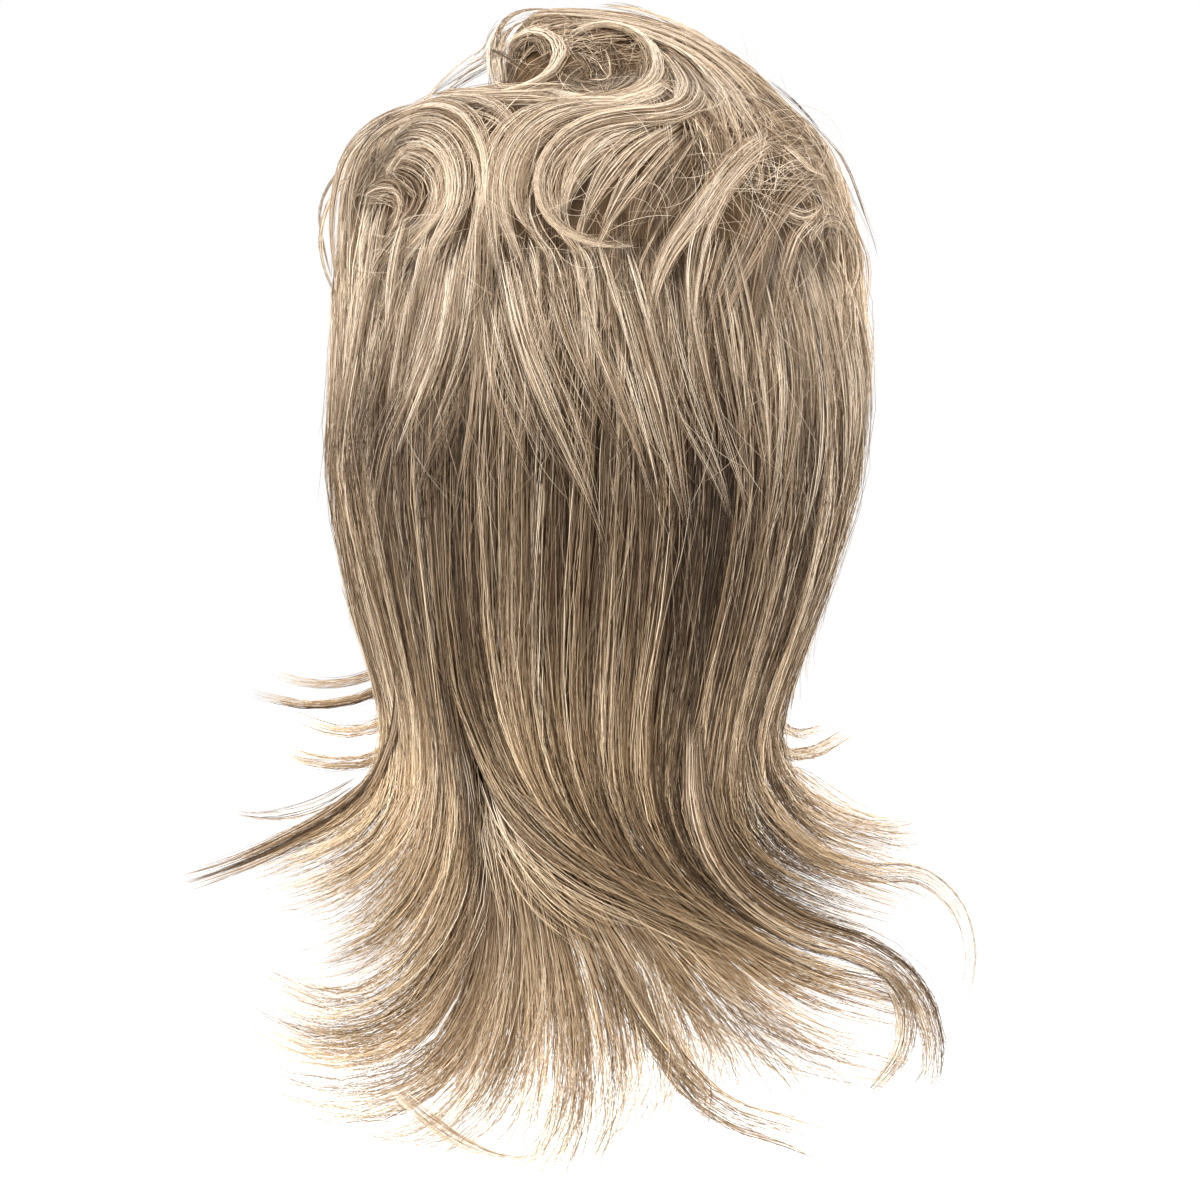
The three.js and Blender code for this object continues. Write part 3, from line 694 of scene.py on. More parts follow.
capRoom = 2.4  # cap wall and its clearance
crownBed = {
    "columns": 170, "rows": 14, "topHole": 0.012, "ends": 0.9,
    "frontRise": 0.34, "front": (0.7, 1.3),  # shorter over the face
    "topInset": 3, "inset": 8, "insetOver": (0.35, 0.65), "innerWay": 0.86,
    "ridge": 1.6, "ridgeFrom": (0.02, 0.15), "drift": 1.2,
    "tone": 0.24, "grooveShade": 0.14, "toneSpread": 0.03, "seed": 3,
}


def addCrownBed():
    bed = crownBed
    rng = np.random.default_rng(bed["seed"])
    angle = np.linspace(0, 2 * math.pi, bed["columns"], endpoint=False)[None]
    ends = bed["ends"] - bed["frontRise"] * (1 - smoothStep(*bed["front"], np.abs(angle - math.pi)))
    way = bed["topHole"] + (ends - bed["topHole"]) * np.linspace(0, 1, bed["rows"])[:, None]
    angle = angle + 0 * way
    height = ridges(rng, bed["rows"], bed["columns"], bed["drift"])
    inset = bed["topInset"] + (bed["inset"] - bed["topInset"]) * smoothStep(*bed["insetOver"], way)
    outer = onForm(angle, way, bed["ridge"] * height * smoothStep(*bed["ridgeFrom"], way) - inset)
    inner = onHead(angle, way * bed["innerWay"], np.full_like(height, capRoom))
    tone = bedTone(bed, height, rng)
    shellPiece("crown_bed", outer, inner, tone, True, bedFibre, ["crown_hair"])


backBed = {
    "columns": 170, "rows": 28, "turn": 90, "top": 52, "bottom": 272, "sidesShorter": 80,
    "ragged": 8, "raggedStep": 4, "inset": 7, "tuck": 4, "neck": (172, 205),
    "thinFrom": 0.68, "thinned": 0.94,  # the wall thins out towards the ends
    "ridge": 1.6, "drift": 0.8, "tone": 0.12, "grooveShade": 0.1, "toneSpread": 0.02, "seed": 4,
}


def addBackBed():
    bed = backBed
    rng = np.random.default_rng(bed["seed"])
    side = np.linspace(-1, 1, bed["columns"])[None]
    t = np.linspace(0, 1, bed["rows"])[:, None]
    ragged = rng.uniform(-1, 1, bed["columns"] // bed["raggedStep"])
    ragged = np.interp(np.arange(bed["columns"]), np.arange(len(ragged)) * bed["raggedStep"], ragged)
    ends = bed["bottom"] + bed["ragged"] * ragged[None] - bed["sidesShorter"] * side**4
    down = bed["top"] + (ends - bed["top"]) * t
    height = ridges(rng, bed["rows"], bed["columns"], bed["drift"])
    half, shift, back, front, turn = formAt(down)
    angle = np.radians(np.minimum(turn, bed["turn"])) * side
    lift = bed["ridge"] * height - bed["inset"] - bed["tuck"] * (smoothStep(0.9, 1, t) + side**6)
    reach = np.where(np.cos(angle) > 0, back, front) + lift
    outer = np.stack([shift + (half + lift) * np.sin(angle), reach * np.cos(angle), -down], -1)
    headHalf, _, headBack, headFront = hollowAt(down)
    moved = shift * smoothStep(*bed["neck"], down)
    reach = np.where(np.cos(angle) > 0, headBack, headFront) + capRoom
    inner = np.stack([moved + (headHalf + capRoom) * np.sin(angle), reach * np.cos(angle), -down], -1)
    thin = bed["thinned"] * smoothStep(bed["thinFrom"], 1, t)[..., None]
    inner = inner * (1 - thin) + outer * thin
    tone = bedTone(bed, height, rng)
    shellPiece("back_bed", outer, inner, tone, False, bedFibre, ["back_hair"])


# The quiff's core: an arch over the front of the crown, round at both ends, its ridges running across
quiffBed = {
    "columns": 44, "rows": 20, "pastEnds": 0.4, "fromFoot": 0.02, "inset": 2.6, "wall": 5,
    "ridge": 0.8, "drift": 0.1, "tone": 0.20, "grooveShade": 0.16, "toneSpread": 0.03, "seed": 5,
}
quiffRound = {"leftFrom": 16, "leftOver": 24.5, "rightFrom": -50, "rightOver": 33}


def archAt(across, turn, inset):
    top, front, rear = readTable(quiffForm, across)
    left = (across - quiffRound["leftFrom"]) / quiffRound["leftOver"]
    right = (quiffRound["rightFrom"] - across) / quiffRound["rightOver"]
    slim = (1 - np.clip(np.maximum(left, right), 0, 0.999) ** 3) ** (1 / 3)
    reach = np.maximum((rear - front) / 2 - inset, 1) * slim
    height = np.maximum(top - quiffFoot - inset, 1) * slim
    y = (front + rear) / 2 - reach * np.cos(turn)
    return np.stack([across, y, quiffFoot + height * np.sin(turn)], -1)


def addQuiffBed():
    bed = quiffBed
    rng = np.random.default_rng(bed["seed"])
    first, last = quiffForm[0][0] - bed["pastEnds"], quiffForm[-1][0] + bed["pastEnds"]
    across = np.linspace(first, last, bed["columns"])[None]
    turn = np.linspace(bed["fromFoot"], math.pi - bed["fromFoot"], bed["rows"])[:, None]
    height = ridges(rng, bed["columns"], bed["rows"], bed["drift"]).T
    grid = np.broadcast_arrays(across, turn)
    outer = archAt(*grid, bed["inset"] - bed["ridge"] * height)
    inner = archAt(*grid, bed["inset"] + bed["wall"])
    tone = bedTone(bed, height, rng)
    shellPiece("quiff_bed", outer, inner, tone, False, bedFibre, ["quiff"])


# Thin beds under the fringe and the side hair
sideBed = {
    "columns": 72, "rows": 11, "inset": 5.5, "wall": 2.5, "raggedRange": (-1, 0.4), "thinned": 0.85,
    "ridge": 0.9, "smoothed": 0.8, "drift": 0.3,
    "tone": 0.34, "grooveShade": 0.12, "toneSpread": 0.03, "seed": 6,
    "pieces": [
        # name, slot, node, first and last angle, first and last way, ragged ends, longer towards the back
        ("fringe_bed", "crown_fibre", "fringe", 134, 226, 0.36, 0.70, 0.14, 0.0),
        ("side_bed_left", "long_fibre", "side_left", 78, 130, 0.5, 1.36, 0.36, 0.5),
        ("side_bed_right", "long_fibre", "side_right", 230, 282, 0.5, 1.36, 0.36, 0.5),
    ],
}


def addSideBed(name, slot, node, first, last, top, bottom, ragged, longer):
    bed = sideBed
    rng = np.random.default_rng(bed["seed"])
    angle = np.radians(np.linspace(first, last, bed["columns"]))[None]
    ends = bottom + ragged * rng.uniform(*bed["raggedRange"], bed["columns"])[None]
    ends = ends + longer * behindFace(angle)
    down = np.linspace(0, 1, bed["rows"])[:, None]
    way = top + (ends - top) * down
    height = ridges(rng, bed["rows"], bed["columns"], bed["drift"])
    angle = angle + 0 * way
    wall = bed["wall"] * (1 - bed["thinned"] * down**2)
    outer = onForm(angle, way, bed["ridge"] * height * (1 - bed["smoothed"] * down**2) - bed["inset"])
    inner = onForm(angle, way, 0 * height - bed["inset"] - wall)
    tone = bedTone(bed, height, rng)
    shellPiece(name, outer, inner, tone, False, bedFibre, [node])


addCrownBed()
addBackBed()
addQuiffBed()
for row in sideBed["pieces"]:
    addSideBed(*row)
print("beds ready")

# Long hair: fields of guides from the crown to the ends, one to each side of the parting at the nape, and
# the fan that comes out from under them. Every guide of a field has as many points.
leftGuides = [
    [(347, 200), (343, 300), (338, 400), (338, 480), (350, 560), (368, 630), (386, 690), (392, 735),
     (382, 780), (350, 812), (306, 834), (262, 852), (222, 868)],
    [(368, 240), (360, 330), (354, 430), (357, 500), (368, 570), (386, 630), (400, 690), (408, 740),
     (404, 790), (378, 838), (335, 866), (285, 885), (240, 896)],
    [(395, 260), (386, 340), (380, 430), (383, 500), (394, 570), (408, 630), (420, 690), (426, 740),
     (424, 795), (404, 850), (362, 893), (312, 916), (262, 925)],
    [(420, 270), (411, 350), (404, 440), (406, 510), (416, 580), (426, 640), (434, 695), (440, 745),
     (441, 800), (428, 860), (392, 915), (345, 948), (285, 962)],
    [(440, 270), (432, 350), (424, 440), (424, 510), (432, 580), (440, 640), (447, 695), (455, 745),
     (459, 805), (450, 870), (420, 930), (370, 975), (300, 990)],
    [(455, 270), (448, 350), (441, 440), (440, 510), (446, 580), (452, 640), (458, 695), (467, 745),
     (473, 810), (468, 880), (444, 950), (400, 1005), (335, 1030)],
]
rightGuides = [
    [(462, 270), (456, 350), (450, 440), (449, 510), (452, 580), (458, 640), (468, 695), (486, 745),
     (505, 790), (532, 832), (575, 866), (640, 898), (715, 928)],
    [(495, 262), (489, 350), (483, 440), (480, 510), (481, 580), (485, 640), (494, 695), (510, 745),
     (532, 792), (562, 832), (605, 868), (665, 904), (740, 938)],
    [(530, 260), (526, 350), (520, 440), (517, 510), (515, 580), (516, 640), (521, 695), (530, 745),
     (546, 792), (574, 834), (616, 874), (676, 914), (752, 950)],
    [(565, 260), (563, 350), (558, 440), (555, 510), (552, 580), (550, 640), (552, 695), (558, 745),
     (571, 792), (597, 838), (640, 882), (700, 922), (775, 958)],
    [(600, 263), (600, 350), (596, 440), (593, 510), (589, 580), (585, 640), (584, 695), (587, 745),
     (597, 793), (620, 842), (662, 888), (724, 930), (800, 966)],
    [(635, 268), (636, 350), (635, 440), (632, 510), (627, 580), (621, 640), (617, 695), (616, 745),
     (622, 795), (643, 845), (685, 892), (750, 934), (830, 972)],
    [(670, 270), (673, 350), (675, 440), (673, 510), (666, 580), (658, 640), (651, 695), (647, 745),
     (649, 796), (667, 848), (708, 896), (776, 938), (856, 974)],
    [(705, 268), (711, 350), (714, 440), (712, 510), (703, 580), (693, 640), (684, 695), (677, 745),
     (676, 798), (692, 850), (735, 896), (806, 932), (886, 962)],
    [(740, 265), (748, 350), (752, 440), (749, 510), (738, 580), (726, 640), (714, 695), (706, 745),
     (704, 796), (720, 846), (764, 888), (836, 920), (910, 945)],
    [(775, 260), (784, 350), (788, 440), (784, 510), (771, 580), (755, 640), (741, 695), (731, 745),
     (731, 793), (750, 840), (796, 876), (868, 904), (940, 925)],
    [(810, 252), (821, 350), (826, 440), (820, 510), (804, 580), (784, 640), (765, 695), (753, 742),
     (757, 788), (782, 830), (830, 860), (896, 880), (955, 905)],
    [(845, 230), (856, 320), (858, 410), (850, 490), (832, 560), (806, 630), (784, 690), (774, 735),
     (782, 775), (812, 808), (856, 828), (898, 836), (938, 836)],
]
fanGuides = [
    [(428, 700), (440, 770), (446, 830), (444, 885), (430, 935), (400, 975), (354, 1000), (302, 998),
     (252, 968)],
    [(440, 700), (452, 775), (460, 845), (460, 905), (444, 960), (410, 1008), (358, 1034), (300, 1032),
     (244, 1000)],
    [(452, 700), (464, 780), (474, 855), (474, 920), (458, 982), (424, 1032), (370, 1060), (306, 1060),
     (240, 1032)],
    [(462, 700), (474, 785), (484, 865), (484, 935), (468, 1003), (434, 1055), (380, 1086), (308, 1092),
     (226, 1070)],
    [(470, 700), (482, 780), (492, 860), (492, 930), (480, 1000), (452, 1058), (406, 1098), (344, 1116),
     (272, 1098)],
    [(478, 700), (490, 780), (502, 855), (504, 925), (498, 995), (478, 1062), (442, 1112), (390, 1140),
     (326, 1132)],
    [(486, 700), (497, 780), (513, 850), (522, 920), (524, 990), (514, 1060), (490, 1115), (450, 1150),
     (400, 1158)],
    [(494, 700), (504, 780), (525, 848), (542, 916), (552, 986), (552, 1056), (540, 1115), (515, 1155),
     (480, 1165)],
    [(502, 700), (511, 780), (538, 846), (563, 912), (583, 980), (594, 1050), (594, 1110), (582, 1155),
     (588, 1192)],
    [(512, 700), (520, 780), (552, 844), (588, 906), (618, 970), (636, 1035), (640, 1090), (622, 1130),
     (590, 1155)],
    [(524, 700), (532, 780), (568, 842), (614, 898), (652, 955), (682, 1010), (702, 1060), (694, 1098),
     (664, 1114)],
    [(536, 700), (545, 780), (584, 842), (636, 895), (686, 950), (730, 1000), (772, 1045), (812, 1085),
     (846, 1132)],
    [(550, 700), (560, 780), (600, 842), (656, 893), (714, 944), (768, 990), (824, 1025), (884, 1046),
     (945, 1066)],
    [(566, 700), (576, 780), (620, 842), (680, 890), (742, 934), (804, 970), (862, 992), (912, 1014),
     (950, 1052)],
]


# Chart place in a field: s counts guides across, t counts points along
def fieldAt(guides, s, t):
    guides = np.asarray(guides, float)
    columns, count = guides.shape[:2]
    guides = extended(guides)
    guides = extended(guides.swapaxes(0, 1)).swapaxes(0, 1)
    i = np.clip(np.floor(s), 0, columns - 2).astype(int)
    t = np.clip(t, 0, count - 1 - 1e-6)
    j = np.floor(t).astype(int)
    acrossWeights = splineWeights(np.clip(s - i, -0.5, 1.5))
    alongWeights = splineWeights(t - j)
    total = 0
    for a in range(4):
        for b in range(4):
            total = total + (acrossWeights[a] * alongWeights[b])[..., None] * guides[i + a, j + b]
    return total


# Tone going down the chart: pale crown, dark middle, pale ends; partly the hair's own colour, with darker
# ash in the lower layer, and partly painted light on the crown and painted shade over the middle
toneAndShadeByRow = [
    # row, tone
    (100, 0.62),
    (250, 0.64),
    (310, 0.65),
    (370, 0.46),
    (440, 0.27),
    (520, 0.31),
    (600, 0.35),
    (680, 0.47),
    (760, 0.52),
    (850, 0.50),
    (950, 0.56),
    (1200, 0.64),
]
# Painted light and shade: places that are darker or paler than the rest of their row, mostly painted shadows
# under the sweeps and in the parting, and painted light along the outline and on the pale band at the left
paintedLightAndShadeSpots = [
    # column, row, half width, half height, change
    (452, 715, 13, 60, -0.34),
    (472, 790, 13, 70, -0.40),
    (425, 790, 26, 80, 0.20),
    (600, 830, 70, 45, -0.24),
    (670, 880, 70, 35, -0.22),
    (755, 815, 45, 65, -0.36),
    (790, 890, 60, 30, -0.24),
    (770, 185, 70, 50, -0.10),
    (585, 200, 50, 50, 0.06),
    (705, 945, 90, 26, 0.12),
    (545, 800, 30, 60, -0.06),
    (345, 430, 20, 160, 0.10),
    (850, 420, 20, 160, 0.08),
    (690, 560, 60, 90, -0.06),
]


# Sum of the painted light and shade at places on the chart
def paintedLightAndShadeAt(place):
    change = 0
    for column, row, wide, high, amount in paintedLightAndShadeSpots:
        apart = ((place[..., 0] - column) / wide) ** 2 + ((place[..., 1] - row) / high) ** 2
        change = change + amount * np.exp(-apart)
    return change


# A root point higher on the crown, ahead of each guide
rootPoint = {"inwards": 0.14, "higher": 70}


def withRoots(guides):
    rooted = []
    for guide in guides:
        column, row = guide[0]
        column = column + rootPoint["inwards"] * (chart["middle"] - column)
        rooted.append([(column, row - rootPoint["higher"])] + guide)
    return rooted


def besideGuide(guide, aside):
    return [[(column + aside, row) for column, row in guide], guide]


# What every field shares unless its own row says otherwise; starts, bends and ends are counted in points of
# the guides
fieldPlay = {
    "margin": 0.35,  # how far clumps go past the outer guides
    "spacing": 1.0,  # under 1 they crowd to the last guide
    "uneven": 0.6, "ragged": 0.6, "raggedClump": (0.4, 1.6), "shortest": 0.8,
    "bend": None, "bendShare": (0.36, 0.54),  # share of the points that lie above the bend
    "sway": (0.02, 0.09), "swayRate": 0.9, "rate": (0.4, 1.5), "drift": 0.5, "driftFrom": 0.3, "curl": 0,
    "lensShare": (0.2, 1.0), "wave": 0.5, "waveRate": (0.6, 2.0),
    "tuck": 5, "tuckOver": 1.3,  # the roots go under the hair above them
    # strands near the outline get painted light, from the given share of the half width out
    "scatter": 2.5, "tips": 0, "edgePaintedLight": 0.12, "edgeLightFrom": 0.86,
}
sweptHair = {
    "strands": 7, "points": 11, "radius": (0.06, 0.16), "clumpWidth": (0.04, 0.20), "lift": (-2.5, 2.2),
    "lens": 0.8, "toneSpread": 0.28, "strandSpread": 0.24, "gather": 0.1, "wander": 0.10, "stray": 0.22,
    "starts": (0.1, 0.9), "bend": 7.0, "ragged": 0.45,
}
fanHair = {"guides": fanGuides, "rate": (0.15, 0.5), "spacing": 0.85}
edgeHair = {
    # Edge hair takes a raised tone: painted light along the outline
    "clumps": 40, "strands": 6, "points": 8, "radius": (0.07, 0.15), "clumpWidth": (0.05, 0.4),
    "lift": (-1.5, 0.8), "lens": 0.6, "toneSpread": 0.10, "strandSpread": 0.20, "gather": 0.5,
    "wander": 0.3, "stray": 0.4, "tone": 0.22,
    "starts": (0.3, 6.2), "ends": (0, 1), "reach": (1.2, 3.2),  # reach takes the place of ends
}
longHair = {
    "left": {
        **sweptHair, "guides": withRoots(leftGuides), "clumps": 200, "ends": (10.8, 13.3),
        "tone": 0.02, "tips": 0.14, "seed": 11,
    },
    "right": {
        **sweptHair, "guides": withRoots(rightGuides), "clumps": 364, "ends": (11.0, 13.3),
        "tone": 0.0, "tips": 0.08, "seed": 12,
    },
    "fan": {
        **fanHair, "clumps": 165, "strands": 14, "points": 9, "radius": (0.09, 0.18),
        "clumpWidth": (0.15, 0.60), "lift": (-5.0, -2.0), "lens": 2.0, "toneSpread": 0.15,
        "strandSpread": 0.20, "gather": 0.3, "wander": 0.20, "stray": 0.35, "starts": (0.6, 1.6),
        "ends": (5.0, 6.4), "curl": 16, "tone": 0.05, "tips": 0.2, "seed": 13,
        "wisps": (0.42, 6.4, 8.4),  # share of the clumps that go on as wisps, and where those end
        "leftLonger": (1.5, 2.5, 6),  # points more at the left, fading out between these guides
        # the shade row paints shade on the fan where it comes out from under the sweeps
        "shade": (0.22, 860, 980),  # darker under the sweeps, fading out between these rows
    },
    "fan_under": {
        **fanHair, "clumps": 50, "strands": 12, "points": 8, "radius": (0.24, 0.38),
        "clumpWidth": (0.30, 0.80), "lift": (-9.0, -6.0), "lens": 1.0, "toneSpread": 0.06,
        "strandSpread": 0.12, "gather": 0.0, "wander": 0.15, "stray": 0.2, "starts": (0.2, 1.0),
        "ends": (4.2, 5.8), "tone": 0.0, "seed": 16,
    },
    # The under layer's low tone is painted shade deep in the hair
    "under": {
        "guides": withRoots(leftGuides[1:5] + rightGuides[:-1]), "clumps": 56, "strands": 8, "points": 10,
        "radius": (0.3, 0.5), "clumpWidth": (0.25, 0.5), "lift": (-6.5, -4.0), "lens": 1.0,
        "toneSpread": 0.05, "strandSpread": 0.08, "gather": 0.1, "wander": 0.03, "stray": 0.05,
        "starts": (0.5, 1.0), "bend": 7.0, "ends": (10.8, 12.9), "ragged": 0.4, "tone": -0.14, "seed": 14,
    },
    "left_edge": {**edgeHair, "guides": withRoots(besideGuide(leftGuides[0], -5)), "seed": 17},
    "right_edge": {**edgeHair, "guides": withRoots(besideGuide(rightGuides[-1], 5)), "seed": 18},
}
phases = (0, 6.3)  # where a wave starts, about a full turn


def fieldBatch(hair, rng):
    hair = {**fieldPlay, **hair}
    guides, clumps, strands = hair["guides"], hair["clumps"], hair["strands"]
    total = clumps * strands

    def each(values):
        return np.repeat(values, strands)[:, None]

    def one(values):
        return values[:, None]

    margin = hair["margin"]
    places = (len(guides) - 1 + 2 * margin) * rng.random(clumps) ** hair["spacing"] - margin
    starts = each(rng.uniform(*hair["starts"], clumps)) + one(rng.uniform(0, hair["uneven"], total))
    ends = each(rng.uniform(*hair["ends"], clumps))
    if "reach" in hair:
        ends = starts + each(rng.uniform(*hair["reach"], clumps))
    if "wisps" in hair:
        share, first, last = hair["wisps"]
        ends = np.where(each(rng.random(clumps)) < share, each(rng.uniform(first, last, clumps)), ends)
        more, near, far = hair["leftLonger"]
        ends = np.minimum(ends + more * (1 - smoothStep(near, far, each(places))), last)
    shorter = one(np.abs(rng.normal(0, hair["ragged"], total)))
    ends = ends - shorter * each(rng.uniform(*hair["raggedClump"], clumps))
    ends = np.maximum(ends, starts + hair["shortest"])
    way = np.linspace(0, 1, hair["points"])[None]
    t = starts + (ends - starts) * way
    bend = hair["bend"]
    if bend:  # few points down to the bend and more after it, at other places on every strand
        share = one(rng.uniform(*hair["bendShare"], total))
        upper = starts + (bend - starts) * way / share
        t = np.where(way < share, upper, bend + (ends - bend) * (way - share) / (1 - share))

    side = one(rng.uniform(-1, 1, total))
    close = 1 - hair["gather"] * smoothStep(0.4, 1.0, way)
    s = each(places) + side * each(rng.uniform(*hair["clumpWidth"], clumps)) * close
    sway = each(rng.uniform(*hair["sway"], clumps))
    s = s + sway * np.sin(t * hair["swayRate"] + each(rng.uniform(*phases, clumps)))
    rate = one(rng.uniform(*hair["rate"], total))
    s = s + hair["wander"] * np.sin(t * rate + one(rng.uniform(*phases, total)))
    drift = one((rng.random(total) < hair["stray"]) * rng.normal(0, hair["drift"], total))
    place = fieldAt(guides, s + drift * (way - hair["driftFrom"]), t)
    bow = np.stack([each(rng.normal(0, 1, clumps)), -np.abs(each(rng.normal(0, 0.8, clumps)))], -1)
    place = place + hair["curl"] * bow * way[..., None] ** 3

    lift = each(rng.uniform(*hair["lift"], clumps))
    lift = lift + one(rng.uniform(*hair["lensShare"], total)) * hair["lens"] * (1 - side**2)
    rate = one(rng.uniform(*hair["waveRate"], total))
    lift = lift + hair["wave"] * np.sin(t * rate + one(rng.uniform(*phases, total)))
    lift = lift - hair["tuck"] * (1 - smoothStep(0, hair["tuckOver"], t - starts))
    lift = lift + one(rng.normal(0, hair["scatter"], total)) * way**4
    # Tone by row and by spot paints light and shade over the hair's own colour
    tone = readTable(toneAndShadeByRow, place[..., 1])[0] + paintedLightAndShadeAt(place) + hair["tone"]
    tone = tone + each(rng.normal(0, hair["toneSpread"], clumps))
    tone = tone + one(rng.normal(0, hair["strandSpread"], total)) + hair["tips"] * way**4
    x, z = chartToMm(place)
    half, shift = formAt(-z)[:2]
    # painted light on strands near the outline
    tone = tone + hair["edgePaintedLight"] * smoothStep(hair["edgeLightFrom"], 1.0, np.abs(x - shift) / half)
    radius = one(rng.uniform(*hair["radius"], total)) * (1 - 0.5 * way**3)
    return {"points": liftedAt(place, lift), "radius": radius, "tone": clipTone(tone)}


def addLongHair():
    for key, hair in longHair.items():
        batch = fieldBatch(hair, np.random.default_rng(hair["seed"]))
        # painted shade on the fan under the sweeps
        if "shade" in hair:
            amount, top, bottom = hair["shade"]
            below = smoothStep(top, bottom, rowAt(batch["points"]))
            batch["tone"] = clipTone(batch["tone"] - amount * (1 - below))
        strandPiece("long_hair_" + key, [batch], longFibre, ["back_hair"], hair["seed"])


addLongHair()

# Locks on their own paths. A third number in a path is how far back it stands where it hangs free.
lockPlay = {
    "loose": 0.12, "root": 0.7, "tip": 0.2, "fan": 0.0, "twist": 0.0, "radius": (0.06, 0.15),
    "wander": 0.10, "wanderRate": (3, 9), "stray": 0.1, "strayWidth": 0.7,
    "tipTone": 0.08, "spread": 0.19, "streaks": 9, "streakSpread": 0.17, "innerPaintedShade": 0.22,
}


# Even steps along the middle of a lock, and the directions across it and away from the hair below
def lockPath(lock, steps=80, smoothed=9):
    path = lock["path"]
    x, z = chartToMm([p[:2] for p in path])
    seat = backAt(x, z) + lock["lift"]
    y = np.array([p[2] if len(p) > 2 else seat[i] for i, p in enumerate(path)], float)
    fine = curveAt(np.stack([x, y, z], -1), np.linspace(0, len(path) - 1, 2 * steps))
    lengths = np.concatenate([[0], np.cumsum(np.linalg.norm(np.diff(fine, axis=0), axis=1))])
    places = np.linspace(0, lengths[-1], steps)
    even = np.stack([np.interp(places, lengths, fine[:, k]) for k in range(3)], -1)
    if y[0] >= 0:  # at the back it stays out of the hair below
        depth = np.maximum(even[:, 1], backAt(even[:, 0], even[:, 2]) + lock["lift"])
        depth = np.pad(depth, smoothed // 2, mode="edge")
        even[:, 1] = np.convolve(depth, np.ones(smoothed) / smoothed, "valid")
    tangent = unit(np.gradient(even, axis=0))
    outward = np.broadcast_to(lock["facing"], even.shape) if "facing" in lock else outwardAt(even)
    across = unit(np.cross(tangent, outward))
    return even, across, np.cross(across, tangent)


def lockBatch(rng, lock):
    lock = {**lockPlay, **lock}
    even, across, outward = lockPath(lock)
    size = (lock["strands"], 1)
    side = rng.uniform(-1, 1, size)
    deep = rng.random(size)
    begin = rng.uniform(0, lock["loose"], size)
    finish = 1 - np.abs(rng.normal(0, lock["loose"], size)).clip(0, 0.5)
    way = np.linspace(0, 1, max(9, 2 * len(lock["path"]) - 3))[None]
    t = begin + (finish - begin) * way
    root, tip = lock["root"], lock["tip"]
    full = root + (1 - root) * smoothStep(0, 0.3, t)
    full = full * (tip + (1 - tip) * (1 - smoothStep(0.45, 1.0, t)))
    full = full + lock["fan"] * smoothStep(0.6, 1.0, t)
    own = rng.uniform(0, 2 * math.pi, size)
    wander = lock["wander"] * np.sin(t * rng.uniform(*lock["wanderRate"], size) + own)
    stray = (rng.random(size) < lock["stray"]) * rng.normal(0, lock["strayWidth"], size) * t**1.5
    twist = lock["twist"] * t
    flatOff = side + wander + stray
    deepOff = deep * np.sqrt(np.clip(1 - side**2, 0, 1))
    aside = flatOff * np.cos(twist) - 0.4 * deepOff * np.sin(twist)
    above = deepOff * np.cos(twist) + 0.25 * np.abs(flatOff * np.sin(twist))
    spot = t * (len(even) - 1)
    low = np.clip(np.floor(spot).astype(int), 0, len(even) - 2)
    part = (spot - low)[..., None]

    def read(values):
        return values[low] * (1 - part) + values[low + 1] * part

    points = read(even) + read(across) * (aside * lock["wide"] * full)[..., None]
    points = points + read(outward) * (above * lock["thick"] * np.minimum(full, 1))[..., None]
    tone = lock["tone"] + lock["tipTone"] * t + rng.normal(0, lock["spread"], size)
    streaks = rng.normal(0, lock["streakSpread"], lock["streaks"])
    tone = tone + np.interp(side, np.linspace(-1, 1, lock["streaks"]), streaks)
    # painted shade on the strands deep inside the lock
    tone = tone - lock["innerPaintedShade"] * (1 - deep)
    radius = rng.uniform(*lock["radius"], size) * thinTip(way)
    return {"points": points, "radius": radius, "tone": clipTone(tone)}


def lockPiece(name, locks, seed, material, nodes, paler=0.0):
    rng = np.random.default_rng(seed)
    batches = []
    for lock in locks:
        batch = lockBatch(rng, lock)
        batch["tone"] = clipTone(batch["tone"] + paler)
        batches.append(batch)
    strandPiece(name, batches, material, nodes, seed)


# Short form for a lock: half width, thickness, lift, strands, tone and path
def makeLock(wide, thick, lift, strands, tone, path, **more):
    lock = {"wide": wide, "thick": thick, "lift": lift, "strands": strands, "tone": tone, "path": path}
    return {**lock, **more}


